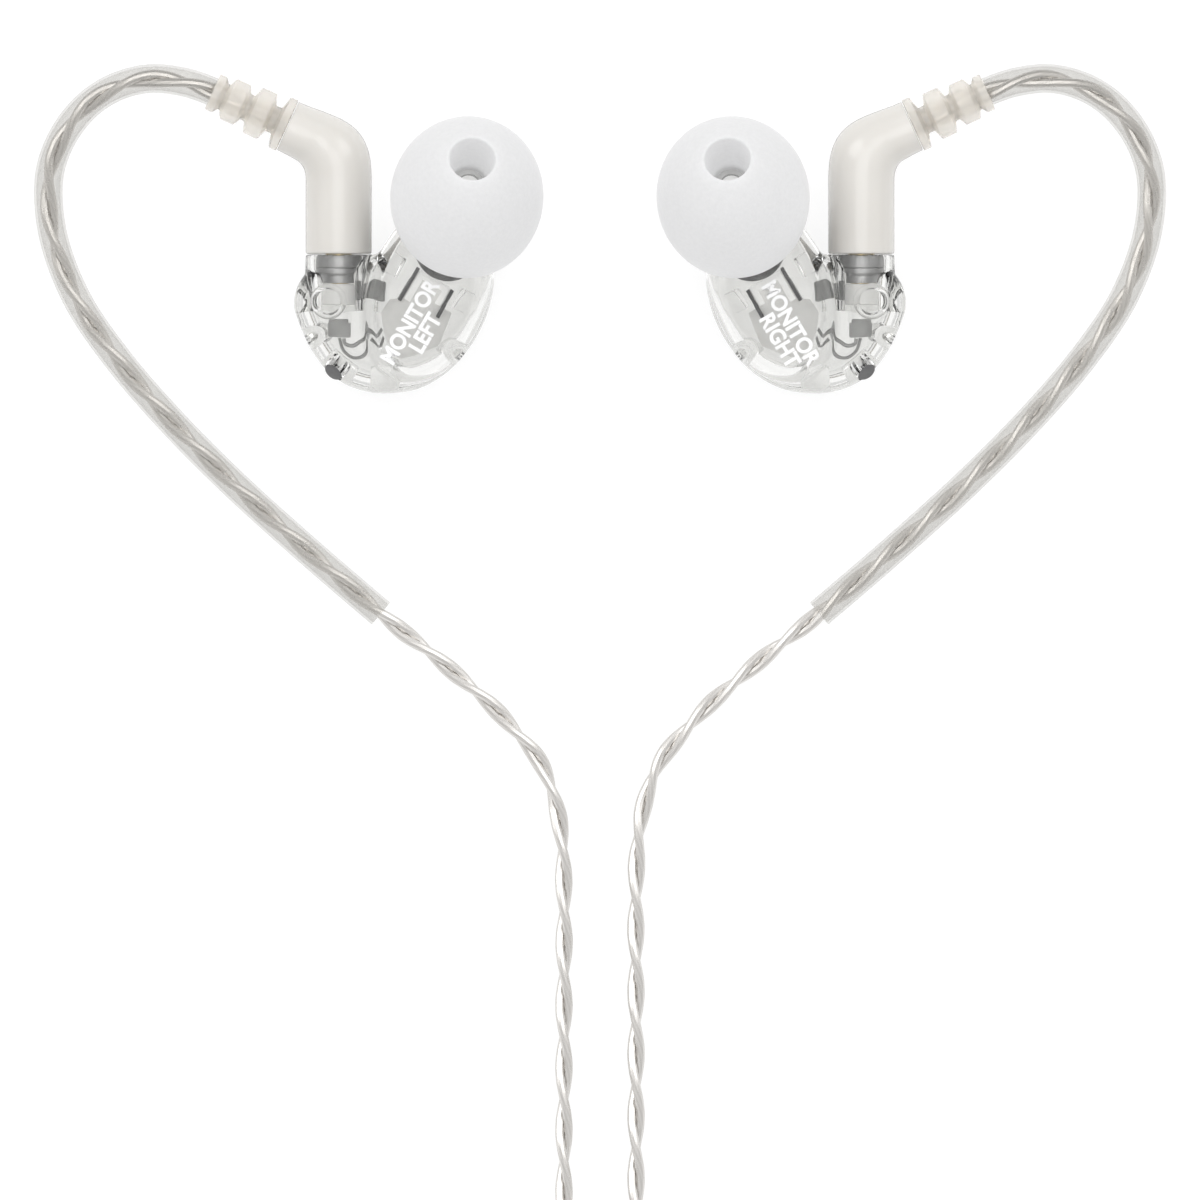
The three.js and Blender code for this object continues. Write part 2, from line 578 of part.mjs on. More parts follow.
/** The Y splitter, bored for the two branches and the trunk. */
function splitter() {
  const outline = [
    [-2.6, -SPLITTER_LENGTH], [2.6, -SPLITTER_LENGTH], [3, -9.5], [4.7, -4], [4.7, -0.8],
    [4, 0], [-4, 0], [-4.7, -0.8], [-4.7, -4], [-3, -9.5],
  ];
  const middle = SPLITTER_THICK / 2;
  let body = solid(plate(outline, 0, SPLITTER_THICK, 0.7));
  for (const x of [BRANCH_X, -BRANCH_X]) {
    const bore = rod(new THREE.Vector3(x, -2, middle), new THREE.Vector3(x, 1, middle), 0.98, 12);
    body = body.subtract(solid(bore));
  }
  const trunkBore = rod(
    new THREE.Vector3(0, -SPLITTER_LENGTH - 1, middle),
    new THREE.Vector3(0, -SPLITTER_LENGTH + 2, middle), TRUNK_D / 2 + 0.25, 12);
  body = body.subtract(solid(trunkBore));
  return piece('cable_splitter', surface(body), WHITE, new THREE.Vector3(0, SPLITTER_TOP_Y, 0));
}

function trunkPieces() {
  const bottom = SPLITTER_TOP_Y - SPLITTER_LENGTH;
  const lead = new THREE.CatmullRomCurve3([
    new THREE.Vector3(0, bottom + 1.5, SPLITTER_THICK / 2), new THREE.Vector3(0, bottom - 2, 2.1),
    new THREE.Vector3(0, -129.4, 1.6),
  ]);
  const end = new THREE.CatmullRomCurve3(TRUNK_END_ROUTE.map(point));
  const { x, y } = TRUNK_COIL;
  return [
    piece('trunk_lead', swept(lead, TRUNK_D / 2, 4, CORD_SIDES), CABLE),
    piece('trunk_coil', coilRing(TRUNK_COIL), CABLE, new THREE.Vector3(x, y, 0)),
    piece('trunk_end', swept(end, TRUNK_D / 2, 14, CORD_SIDES), CABLE),
  ];
}

// ---- The 3.5 mm stereo plug, turned about +Y from the cable's end of its strain relief ----

function plugPieces() {
  const place = new THREE.Vector3(PLUG_X, PLUG_RELIEF_Y, PLUG_Z);
  const contactR = 1.75;
  const profiles = {
    plug_relief: [[[0, 0], [1.5, 0], [1.7, 0.4], [2.5, 9.6], [0, 9.6]], WHITE],
    plug_body: [[[0, 9.9], [2.9, 9.9], [PLUG_Z, 10.6], [PLUG_Z, 25.6], [2.8, 26.6], [0, 26.6]], WHITE],
    plug_sleeve: [closed([[1, 26.8], [contactR + 0.7, 26.8], [contactR + 0.7, 27.6], [contactR, 27.6],
      [contactR, 34], [1, 34]]), GOLD],
    plug_ring: [closed([[1, 34.9], [contactR, 34.9], [contactR, 36.6], [1, 36.6]]), GOLD],
    plug_insulator: [[[0, 27], [0.85, 27], [0.85, 34.15], [contactR - 0.05, 34.15],
      [contactR - 0.05, 34.75], [0.85, 34.75], [0.85, 36.75], [contactR - 0.05, 36.75],
      [contactR - 0.05, 37.3], [0, 37.3]], DARK],
    plug_tip: [[[0, 37.45], [contactR, 37.45], [contactR, 38.2], [1.25, 38.9], [1.6, 39.6], [0.6, 41],
      [0, 41.1]], GOLD],
  };
  return Object.entries(profiles).map(([name, [profile, material]]) =>
    piece(name, turned(profile, 12), material, place));
}

// ---- The assembly ----

/** Everything on one side; the right side is the left one's mirror image. */
function earphone(side) {
  const group = new THREE.Group();
  const { place, ahead } = elbow(BOOT_LENGTH);
  group.add(
    ...shellPieces(side),
    piece(`${side}_ear_tip`, earTip(), SILICONE, TIP_CENTRE, NOZZLE_AXIS),
    ...driverPieces(side),
    ...armaturePieces(side),
    ...wirePieces(side),
    ...smallInnerPieces(side),
    ...connectorPieces(side),
    piece(`${side}_elbow_boot`, boot(), FROSTED),
    piece(`${side}_strain_relief`, strainRelief(), FROSTED, place, ahead),
    ...branchPieces(side),
  );
  group.scale.x = side === 'right' ? -1 : 1;
  return group;
}

const group = new THREE.Group();
group.add(earphone('left'), earphone('right'), chinSlider(), splitter(), ...trunkPieces(), ...plugPieces());

export default group;
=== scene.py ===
"""The looks of a pair of in-ear monitors: smooth clear shells, frosted tips and a twisted silver cable.

Metres, +Z up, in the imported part's own frame. Everything on one side is made for the left earphone,
at negative X, and mirrored for the right one, apart from the cable's twist and the printed words.
"""
from math import asin, cos, degrees, pi, radians, sin, sqrt

import bmesh
import bpy
from mathutils import Matrix, Vector
from mathutils.bvhtree import BVHTree


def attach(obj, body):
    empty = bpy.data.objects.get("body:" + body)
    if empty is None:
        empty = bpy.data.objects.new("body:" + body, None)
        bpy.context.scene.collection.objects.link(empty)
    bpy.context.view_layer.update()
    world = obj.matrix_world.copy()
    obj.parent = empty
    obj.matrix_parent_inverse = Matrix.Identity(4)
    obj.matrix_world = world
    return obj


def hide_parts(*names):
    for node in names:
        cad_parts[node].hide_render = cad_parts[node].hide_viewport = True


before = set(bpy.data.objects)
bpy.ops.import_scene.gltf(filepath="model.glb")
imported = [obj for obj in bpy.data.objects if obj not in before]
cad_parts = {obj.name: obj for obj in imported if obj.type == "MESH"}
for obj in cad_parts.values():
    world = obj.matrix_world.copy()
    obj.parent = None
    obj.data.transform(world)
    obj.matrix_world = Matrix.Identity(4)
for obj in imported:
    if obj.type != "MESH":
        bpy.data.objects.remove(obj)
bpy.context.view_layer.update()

# ---- Driving dimensions ----
SIDES = (("left", 1), ("right", -1))
ORIGIN = Vector((0, 0, 0))
UP = Vector((0, 0, 1))
ALONG_Y = Vector((0, 1, 0))

# The connector axis, which runs along Y, and the boot on it.
SWIVEL_X = -0.02175
SWIVEL_Z = 0.0047
BOOT_BOTTOM_Y = 0.0076
BOOT_LENGTH = 0.0126
LEG_R = 0.00275
ARM_R = 0.0022
BEND_R = 0.0042
BEND_START = 0.00587
BEND_ANGLE = radians(65.5)
BEND_SWELL = 0.0002
RELIEF_END = 0.0069

# The ear tip, an egg on the leaning nozzle axis, TIP_STRETCH times as tall as it is wide.
TIP_CENTRE = Vector((-0.01105, 0.01208, 0.015))
NOZZLE_AXIS = Vector((0.061523, 0.402057, 0.913545))
TIP_R = 0.00636
TIP_STRETCH = 1.31
TIP_RIM = -0.0043
MOUTH_R = 0.0019
NOZZLE_R = 0.00135
NOZZLE_BORE_R = 0.00095
NOZZLE_END = 0.0026
NOZZLE_ROOT = -0.0056
STEM_R = 0.0023
STEM_BORE_R = 0.00162
STEM_TOP = 0.0042
TIP_WALL = 0.0006

# The clear shell's two plan outlines, anticlockwise, and how each is rounded: its foot as (inset,
# height), the height where its upright sides end, and its crown as (inset, height).
BODY_OUTLINE = [
    (-0.0255, 0.0036), (-0.0248, 0.001), (-0.0234, -0.0015), (-0.0216, -0.0032),
    (-0.0196, -0.004), (-0.0175, -0.00417), (-0.015, -0.00375), (-0.0125, -0.00225),
    (-0.0104, 0.0003), (-0.0092, 0.003), (-0.0089, 0.006), (-0.0106, 0.008),
    (-0.015, 0.0081), (-0.02, 0.0071), (-0.0243, 0.006),
]
RIDGE_OUTLINE = [
    (-0.0189, 0.0066), (-0.02, 0.0025), (-0.0192, -0.0016), (-0.0165, -0.0034),
    (-0.013, -0.0024), (-0.0102, 0.0012), (-0.0088, 0.0058), (-0.0092, 0.0089),
    (-0.011, 0.011), (-0.0138, 0.0114), (-0.0164, 0.0102), (-0.0179, 0.0083),
]
BODY_LEVELS = ((0.0022, 0.0022), 0.0054, (0.0017, 0.0074))
RIDGE_LEVELS = ((0.0022, 0.0022), 0.0058, (0.0018, 0.0085))
SHELL_WALL = 0.0009
PARTING_GAP = 0.0001
COLLAR_START_Y = 0.0027
COLLAR_END_Y = 0.0074
COLLAR_R = 0.0028
SOCKET_BORE_R = 0.0021
SOCKET_BORE_ENDS = (0.0017, 0.0084)
# The rings on the nozzle's axis that the ridge reaches up to, and how finely the shell is melted.
NECK_R = 0.0022
ROOM_NECK_R = 0.0012
ROOM_NECK_END = -0.0069
SHELL_VOXEL = 0.00016
ROOM_VOXEL = 0.00018
MELT_ROUNDS = 12
# The screw posts as (X, Y, radius), the radius from which one is stout, and the heights of their
# ends and of the holes in them.
STOUT_BOSS = 0.001
BOSSES = [(-0.01225, -0.0005, 0.00095), (-0.0179, -0.00275, 0.0013), (-0.02375, 0.0006, 0.00095)]
BOSS_ENDS = (0.0003, 0.0074)
HOLE_ENDS = (0.0012, 0.0058)
HOLE_R = 0.00045
LUGS = [(-0.0116, 0.0037), (-0.01675, 0.0064)]
LUG_SIZE = (0.0018, 0.0011, 0.0022)
LUG_Z = 0.0072
DRIVER_CENTRE = Vector((-0.0126, 0.00775, 0.0056))
DRIVER_R = 0.0025
CAN_CENTRE = Vector((-0.0155, 0.0025, 0.0038))
CAN_SIZE = (0.0054, 0.0034, 0.0018)
TERMINAL_Y = 0.00125
TERMINAL_SIZE = (0.002, 0.00155, 0.002)
BOARD_PLACE = (-0.01835, 0.0044, SWIVEL_Z)
BOARD_SIZE = (0.0008, 0.0016, 0.0026)
CARRIER_CENTRE = Vector((-0.01458, 0.00375, 0))
DIAGONAL = radians(60)
LENS_PLACE = Vector((-0.02258, 0.0035, 0.0074))
LENS_R = 0.00125
LENS_WIRE_R = 0.00026
VENT_PLACE = Vector((-0.0221, -0.0023, 0.0061))
VENT_OUT = Vector((-0.5, -0.62, 0.6)).normalized()
VENT_BORE_R = 0.0009
VENT_PAD_SIZE = (0.0027, 0.0013, 0.0026)
VENT_PAD_PLACE = (-0.0216, -0.00195, 0.006)
VENT_PAD_TURN = radians(-39)

# The cable.
BRANCH_D = 0.0015
TRUNK_D = 0.0022
BRANCH_PITCH = 0.0104
TRUNK_PITCH = 0.01352
TWIST_START = 0.6
BRANCH_STEP = 0.0004
TRUNK_STEP = 0.0006
SLEEVE_R = 0.0012
SLEEVE_BORE_R = 0.001
SLEEVE_LAST = Vector((-0.01833, -0.02239, 0.0012))
BRANCH_X = -0.003
SPLITTER_TOP_Y = -0.106
SPLITTER_LENGTH = 0.017
SPLITTER_THICK = 0.0046
SLIDER_Y = -0.078
SLIDER_THICK = 0.003
CHANNEL_SIZE = (0.002, 0.012, 0.0035)
PLUG_PLACE = Vector((0.019, -0.1515, 0.00325))
BRANCH_ROUTE = [
    (-0.0346, 0.02175, 0.0045), (-0.0375, 0.02205, 0.0041), (-0.0402, 0.0214, 0.0036),
    (-0.0425, 0.02, 0.0031), (-0.0444, 0.0178, 0.0026), (-0.0456, 0.0152, 0.0021),
    (-0.04596, 0.0127, 0.00175), (-0.04546, 0.00858, 0.00135), (-0.0435, 0.00358, 0.00122),
    (-0.04008, -0.00142, 0.0012), (-0.03575, -0.00642, 0.0012), (-0.03079, -0.01142, 0.0012),
    (-0.02529, -0.01642, 0.0012), (-0.0195, -0.02142, 0.0012), (-0.0165, -0.02392, 0.0011),
    (-0.01433, -0.02558, 0.0009), (-0.01138, -0.02808, 0.0008), (-0.0092, -0.03, 0.0008),
    (-0.00708, -0.03225, 0.0008), (-0.005, -0.03485, 0.0008), (-0.00375, -0.03808, 0.0008),
    (-0.00315, -0.0416, 0.0008), *[(BRANCH_X, y, 0.0008) for y in (-0.046, -0.054, -0.064, -0.076)],
    (BRANCH_X, -0.084, 0.00085), (BRANCH_X, -0.0918, 0.00102), (BRANCH_X, -0.0955, 0.00105),
]
BRANCH_END_ROUTE = [
    (BRANCH_X, -0.0995, 0.0038), (BRANCH_X, -0.1025, 0.0027), (BRANCH_X, -0.105, 0.00235),
    (BRANCH_X, -0.1075, 0.0023),
]
TRUNK_START_ROUTE = [
    (0, -0.1215, 0.0023), (0, -0.1235, 0.0022), (0, -0.1262, 0.0019), (0, -0.1294, 0.0016),
    (0, -0.1345, 0.0014),
]
TRUNK_END_ROUTE = [
    (0, -0.1425, 0.0092), (0, -0.1466, 0.0073), (0.0001, -0.151, 0.0056), (0.0009, -0.156, 0.0034),
    (0.003, -0.1605, 0.0019), (0.0068, -0.1642, 0.0012), (0.011, -0.1652, 0.00115),
    (0.0152, -0.1636, 0.0013), (0.018, -0.1596, 0.002), (0.019, -0.155, 0.0029),
    (0.019, -0.1515, 0.0032), (0.019, -0.147, 0.00325),
]
# Each coil: its middle, then the radius and height of each turn's slot in the order it is wound, and
# how far round the cord takes to change from one slot to the next.
COIL_STEP = radians(7.5)
COIL_LEAD = radians(30)
BRANCH_COIL = {
    "centre": (-0.01275, -0.0975),
    "slots": [(0.00975, 0.00105), (0.00825, 0.00105), (0.00825, 0.00255), (0.00975, 0.00255)],
    "last": (0.00975, 0.00405),
    "turns": 4,
    "change": radians(45),
}
TRUNK_RADII = (0.0154, 0.0132, 0.011)
TRUNK_ROWS = (0.0014, 0.0036, 0.0058, 0.008)
TRUNK_COIL = {
    "centre": (-0.0154, -0.138),
    "slots": [(r, z) for row, z in enumerate(TRUNK_ROWS)
              for r in (TRUNK_RADII if row % 2 == 0 else TRUNK_RADII[::-1])],
    "last": (0.0154, 0.0102),
    "turns": 11,
    "change": radians(40),
}

# The ties: strap and clasp.
TIE_FOOT = 0.00027
TIE_THICK = 0.0002
TIE_HALF_WIDTH = 0.0011
TIE_CORNER_R = 0.0007
CLASP_SIZE = (0.0016, 0.003, 0.0008)
CLASP_RISE = 0.0006

# The printed marks: each line's word and where it starts on the plan.
CAP_HEIGHT = 0.00134
LETTER_WIDTH = 0.9
LETTER_WEIGHT = 0.036
INK_THICK = 0.00003
INK_EDGE = 0.00016
MARK_SLOPE = radians(59.5)
MARKS = {
    "left": [("MONITOR", (-0.01725, -0.0019)), ("LEFT", (-0.01487, -0.00098))],
    "right": [("MONITOR", (0.01337, 0.00471)), ("RIGHT", (0.01319, 0.002))],
}

# The camera looks straight down on a square of the surface, lit from two lamps and the sky.
VIEW_CENTRE = Vector((0, -0.02136, 0))
VIEW_WIDTH = 0.1
CAMERA_HEIGHT = 4.0
LAMP_SIZE = 0.7
SENSOR_MM = 36


# ---- The camera ----

def linked(name, data):
    """A new object in the scene."""
    made = bpy.data.objects.new(name, data)
    bpy.context.scene.collection.objects.link(made)
    return made


def make_camera():
    data = bpy.data.cameras.new("camera")
    camera = linked("camera", data)
    camera.location = VIEW_CENTRE + UP * CAMERA_HEIGHT
    data.sensor_width = SENSOR_MM
    data.lens = SENSOR_MM * CAMERA_HEIGHT / VIEW_WIDTH
    data.clip_start = 0.01
    data.clip_end = 100
    bpy.context.scene.camera = camera


make_camera()


# ---- Curves ----

def smooth_curve(points, closed=False, steps=12):
    """Points on the smooth centripetal curve through the given points."""
    points = [Vector(p) for p in points]
    count = len(points)
    if closed:
        around = [points[-1]] + points + points[:2]
    else:
        around = [2 * points[0] - points[1]] + points + [2 * points[-1] - points[-2]]
    found = []
    for k in range(count if closed else count - 1):
        a, b, c, d = around[k:k + 4]
        t1 = (b - a).length ** 0.5
        t2 = (c - b).length ** 0.5
        t3 = (d - c).length ** 0.5
        start = ((b - a) / t1 - (c - a) / (t1 + t2) + (c - b) / t2) * t2
        end = ((c - b) / t2 - (d - b) / (t2 + t3) + (d - c) / t3) * t2
        for i in range(steps):
            t = i / steps
            h = t * t * (3 - 2 * t)
            found.append(b.lerp(c, h) + start * (t * (1 - t) ** 2) - end * (t * t * (1 - t)))
    if not closed:
        found.append(points[-1])
    return found


def reach_along(points):
    """How far along a line each of its points is."""
    reach = [0.0]
    for a, b in zip(points, points[1:]):
        reach.append(reach[-1] + (b - a).length)
    return reach


def even(points, step):
    """The same line with its points evenly spaced, about a step apart."""
    reach = reach_along(points)
    count = max(2, round(reach[-1] / step))
    found = []
    k = 0
    for i in range(count + 1):
        target = reach[-1] * i / count
        while k < len(points) - 2 and reach[k + 1] < target:
            k += 1
        span = max(reach[k + 1] - reach[k], 1e-12)
        found.append(points[k].lerp(points[k + 1], (target - reach[k]) / span))
    return found


def smoothstep(t):
    t = min(max(t, 0.0), 1.0)
    return t * t * (3 - 2 * t)


def coil_points(coil):
    """A coil wound clockwise from its +X side: each turn keeps its slot, then changes to the next."""
    x, y = coil["centre"]
    slots = coil["slots"] + [coil["last"]]
    change = coil["change"]
    stay = 2 * pi - change
    found = []
    for i in range(round(2 * pi * coil["turns"] / COIL_STEP) + 1):
        turned_by = i * COIL_STEP
        spent = turned_by - (stay - COIL_LEAD)
        slot = max(0, int(spent / stay) + 1) if spent >= 0 else 0
        slot = min(slot, len(slots) - 1)
        radius, height = slots[slot]
        if slot > 0:
            share = smoothstep((spent - (slot - 1) * stay) / change)
            before = slots[slot - 1]
            radius = before[0] + (radius - before[0]) * share
            height = before[1] + (height - before[1]) * share
        found.append((x + radius * cos(turned_by), y - radius * sin(turned_by), height))
    return found


def on_connector(y):
    """A place on the connector's axis."""
    return Vector((SWIVEL_X, y, SWIVEL_Z))


def elbow(distance):
    """Where the boot's bent axis is at a distance from its lower end, and which way it points."""
    turn = min(max((distance - BEND_START) / BEND_R, 0), BEND_ANGLE)
    ahead = Vector((-sin(turn), cos(turn), 0))
    straight = min(distance, BEND_START)
    place = Vector((SWIVEL_X - BEND_R * (1 - cos(turn)),
                    BOOT_BOTTOM_Y + straight + BEND_R * sin(turn), SWIVEL_Z))
    return place + ahead * max(0, distance - BEND_START - BEND_R * BEND_ANGLE), ahead


def branch_path():
    place, ahead = elbow(BOOT_LENGTH)
    first = [place + ahead * distance for distance in (0.0004, 0.0036, RELIEF_END)]
    return smooth_curve(first + BRANCH_ROUTE + coil_points(BRANCH_COIL) + BRANCH_END_ROUTE)


# ---- Meshes ----

def finished(work):
    mesh = bpy.data.meshes.new("piece")
    work.to_mesh(mesh)
    work.free()
    return mesh


def smoothed(mesh, sharp=35):
    """A mesh shaded smooth, apart from its edges over an angle in degrees."""
    mesh.polygons.foreach_set("use_smooth", [True] * len(mesh.polygons))
    mesh.set_sharp_from_angle(angle=radians(sharp))
    return mesh


def mesh_of(vertices, faces, sharp=35):
    """A smooth mesh with every face looking out."""
    mesh = bpy.data.meshes.new("piece")
    mesh.from_pydata([tuple(v) for v in vertices], [], faces)
    work = bmesh.new()
    work.from_mesh(mesh)
    bmesh.ops.recalc_face_normals(work, faces=work.faces)
    work.to_mesh(mesh)
    work.free()
    return smoothed(mesh, sharp)


def joined(parts):
    """Several (vertices, faces) as one mesh."""
    vertices, faces = [], []
    for more, shape in parts:
        base = len(vertices)
        vertices += list(more)
        faces += [[base + i for i in face] for face in shape]
    return mesh_of(vertices, faces)


def frames_along(points):
    """A tangent and two steady sideways directions at each point of a line."""
    found = []
    side = None
    for i, p in enumerate(points):
        ahead = (points[min(i + 1, len(points) - 1)] - points[max(i - 1, 0)]).normalized()
        if side is None:
            side = UP.cross(ahead)
            side = side if side.length > 0.1 else Vector((1, 0, 0)).cross(ahead)
        side = (side - ahead * side.dot(ahead)).normalized()
        found.append((ahead, side, ahead.cross(side)))
    return found


def ring_points(radius, count):
    return [(radius * cos(2 * pi * k / count), radius * sin(2 * pi * k / count))
            for k in range(count)]


def swept(points, radius, sides, offset=0.0, phase=0.0, pitch=None):
    """A round rod along a line, or a strand that winds round it at an offset; left-handed."""
    shape = ring_points(radius, sides)
    vertices, faces = [], []
    travelled = 0.0
    for i, (p, (ahead, side, up)) in enumerate(zip(points, frames_along(points))):
        travelled += (p - points[i - 1]).length if i else 0
        angle = phase - (2 * pi * travelled / pitch if pitch else 0)
        centre = p + (side * cos(angle) + up * sin(angle)) * offset
        vertices += [centre + side * a + up * b for a, b in shape]
    for i in range(len(points) - 1):
        for k in range(sides):
            a, b = i * sides + k, i * sides + (k + 1) % sides
            faces.append([a, b, b + sides, a + sides])
    last = (len(points) - 1) * sides
    faces.append(list(range(sides))[::-1])
    faces.append([last + k for k in range(sides)])
    return vertices, faces


def hollow(points, radius, bore, sides):
    """A round tube along a line."""
    outer, faces = swept(points, radius, sides)
    inner, more = swept(points, bore, sides)
    base = len(outer)
    faces = faces[:-2] + [[base + i for i in face][::-1] for face in more[:-2]]
    for start in (0, base - sides):
        for k in range(sides):
            a, b = start + k, start + (k + 1) % sides
            faces.append([a, b, base + b, base + a])
    return outer + inner, faces


def rounded(points, radius, steps=3, closed=False):
    """A profile of (radius, height) with its corners rounded, as far as its edges allow."""
    points = [Vector((a, b)) for a, b in points]
    found = []
    for k, p in enumerate(points):
        if not closed and k in (0, len(points) - 1):
            found.append(p)
            continue
        before, after = points[k - 1], points[(k + 1) % len(points)]
        cut = min(radius, (before - p).length * 0.45, (after - p).length * 0.45)
        a = p + (before - p).normalized() * cut
        b = p + (after - p).normalized() * cut
        for i in range(steps + 1):
            t = i / steps
            found.append(a * (1 - t) ** 2 + p * (2 * t * (1 - t)) + b * t * t)
    return [(q.x, q.y) for q in found]


def hangs_free(profile):
    """Whether a profile of (radius, height) keeps off its axis and so goes round to its start."""
    return profile[0][0] > 0


def turned(profile, place=ORIGIN, direction=ALONG_Y, sides=48):
    """A lathe about a direction through a place from a profile of (radius, height)."""
    turn = UP.rotation_difference(direction).to_matrix()
    vertices, rows = [], []
    for radius, height in profile:
        if radius < 1e-7:
            rows.append([len(vertices)] * sides)
            vertices.append(place + turn @ Vector((0, 0, height)))
            continue
        rows.append(list(range(len(vertices), len(vertices) + sides)))
        vertices += [place + turn @ Vector((a, b, height)) for a, b in ring_points(radius, sides)]
    faces = []
    pairs = list(zip(rows, rows[1:])) + ([(rows[-1], rows[0])] if hangs_free(profile) else [])
    for low, high in pairs:
        for k in range(sides):
            face = [low[k], low[(k + 1) % sides], high[(k + 1) % sides], high[k]]
            kept = [v for i, v in enumerate(face) if v not in face[:i]]
            if len(kept) > 2:
                faces.append(kept)
    return vertices, faces


def lathed(profile, bevel, place=ORIGIN, direction=ALONG_Y, sides=48, steps=3):
    """A turned mesh whose profile's corners are rounded."""
    profile = rounded(profile, bevel, steps, hangs_free(profile))
    return mesh_of(*turned(profile, place, direction, sides))


def raise_faces(work, faces, height):
    """Draw faces up into a closed solid."""
    raised = bmesh.ops.extrude_face_region(work, geom=faces)
    top = [v for v in raised["geom"] if isinstance(v, bmesh.types.BMVert)]
    bmesh.ops.translate(work, vec=(0, 0, height), verts=top)
    bmesh.ops.recalc_face_normals(work, faces=work.faces)


def slab(outline, low, high, bevel, segments, place=ORIGIN, turn=0.0):
    """A plate of a plan outline between two heights with rounded edges."""
    work = bmesh.new()
    bottom = work.faces.new([work.verts.new((x, y, low)) for x, y in outline])
    raise_faces(work, [bottom], high - low)
    bmesh.ops.bevel(work, geom=work.edges[:], offset=bevel, segments=segments, profile=0.5,
                    affect="EDGES", clamp_overlap=True)
    bmesh.ops.transform(work, matrix=Matrix.Translation(place) @ Matrix.Rotation(turn, 4, "Z"),
                        verts=work.verts)
    return smoothed(finished(work))


def block(size, place, bevel, turn=0.0):
    """A box with rounded edges about a place."""
    x, y, z = size[0] / 2, size[1] / 2, size[2] / 2
    return slab([(-x, -y), (x, -y), (x, y), (-x, y)], -z, z, bevel, 2, Vector(place), turn)


def both_halves(half):
    """A plan outline from its half at +X, which runs anticlockwise."""
    return half + [(-x, y) for x, y in half[::-1]]


def mirrored(mesh):
    made = mesh.copy()
    made.transform(Matrix.Scale(-1, 4, (1, 0, 0)))
    made.flip_normals()
    return made


# ---- Placing ----

def put(name, mesh, body, material, replaces=()):
    """One piece of the model, riding on a body."""
    piece = linked(name, mesh)
    mesh.name = name
    mesh.materials.clear()
    mesh.materials.append(material)
    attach(piece, body)
    if replaces:
        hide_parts(*replaces)
    return piece


def put_both(name, mesh, body, material, replaces=()):
    """The left piece and its mirror image; a body or node name without a side gets the side's."""
    for side, sign in SIDES:
        rides = body if body == "cable" else f"{side}_{body}"
        shape = mesh if sign > 0 else mirrored(mesh)
        put(f"{side}_{name}", shape, rides, material, [f"{side}_{node}" for node in replaces])


def put_fine(name, mesh, body, material):
    """A finer stand-in for one node on each side."""
    put_both(f"{name}_fine", mesh, body, material, [name])


# ---- Materials ----

WHITE_LIGHT = (1, 1, 1, 1)
MILKY_RADII = (1.0, 0.96, 0.9)


def set_inputs(made, values):
    for socket, value in values.items():
        made.inputs[socket].default_value = value


def new_material(name, values):
    material = bpy.data.materials.new(name)
    material.use_nodes = True
    tree = material.node_tree
    shader = tree.nodes["Principled BSDF"]
    set_inputs(shader, values)
    return material, tree, shader


def node(tree, kind, values=(), **settings):
    """A new node with its settings and the constants of its sockets."""
    made = tree.nodes.new(kind)
    for key, value in settings.items():
        setattr(made, key, value)
    set_inputs(made, dict(values))
    return made


def noise(tree, scale, detail=3.0):
    """Noise in the object's own metres."""
    place = node(tree, "ShaderNodeTexCoord")
    made = node(tree, "ShaderNodeTexNoise", {"Scale": scale, "Detail": detail})
    tree.links.new(place.outputs["Object"], made.inputs["Vector"])
    return made.outputs["Fac"]


def ramp(tree, factor, dark, light, low=0.3, high=0.7):
    """A colour between two, by a factor."""
    made = node(tree, "ShaderNodeValToRGB")
    for element, position, colour in zip(made.color_ramp.elements, (low, high), (dark, light)):
        element.position = position
        element.color = (*colour, 1)
    tree.links.new(factor, made.inputs["Fac"])
    return made.outputs["Color"]


def spread(tree, factor, low, high, start=0.0, stop=1.0, kind="LINEAR"):
    """A factor brought from one range to another and held at its ends."""
    values = {"From Min": start, "From Max": stop, "To Min": low, "To Max": high}
    made = node(tree, "ShaderNodeMapRange", values, interpolation_type=kind)
    tree.links.new(factor, made.inputs["Value"])
    return made.outputs["Result"]


def maths(tree, operation, *values):
    """A Math node over plain numbers and other nodes' outputs."""
    made = node(tree, "ShaderNodeMath", operation=operation)
    for i, value in enumerate(values):
        if isinstance(value, float):
            made.inputs[i].default_value = value
        else:
            tree.links.new(value, made.inputs[i])
    return made.outputs[0]


def facing(tree, blend):
    """How far a surface turns away from the line of sight."""
    return node(tree, "ShaderNodeLayerWeight", {"Blend": blend}).outputs["Facing"]


def colour(tree, shader, scale, dark, light, detail=3.0):
    tree.links.new(ramp(tree, noise(tree, scale, detail), dark, light), shader.inputs["Base Color"])


def roughen(tree, shader, scale, low, high):
    tree.links.new(spread(tree, noise(tree, scale), low, high), shader.inputs["Roughness"])


def bump(tree, shader, height, strength, distance):
    made = node(tree, "ShaderNodeBump", {"Strength": strength, "Distance": distance})
    tree.links.new(height, made.inputs["Height"])
    tree.links.new(made.outputs["Normal"], shader.inputs["Normal"])


def glass(tree, tint, roughness, ior):
    return node(tree, "ShaderNodeBsdfGlass", {"Color": (*tint, 1), "Roughness": roughness, "IOR": ior})


def mix_surface(tree, share, shader, other):
    """Make the surface a mix of two shaders, by the share of the other."""
    mix = node(tree, "ShaderNodeMixShader")
    tree.links.new(share, mix.inputs["Fac"])
    tree.links.new(shader.outputs[0], mix.inputs[1])
    tree.links.new(other.outputs[0], mix.inputs[2])
    tree.links.new(mix.outputs[0], tree.nodes["Material Output"].inputs["Surface"])


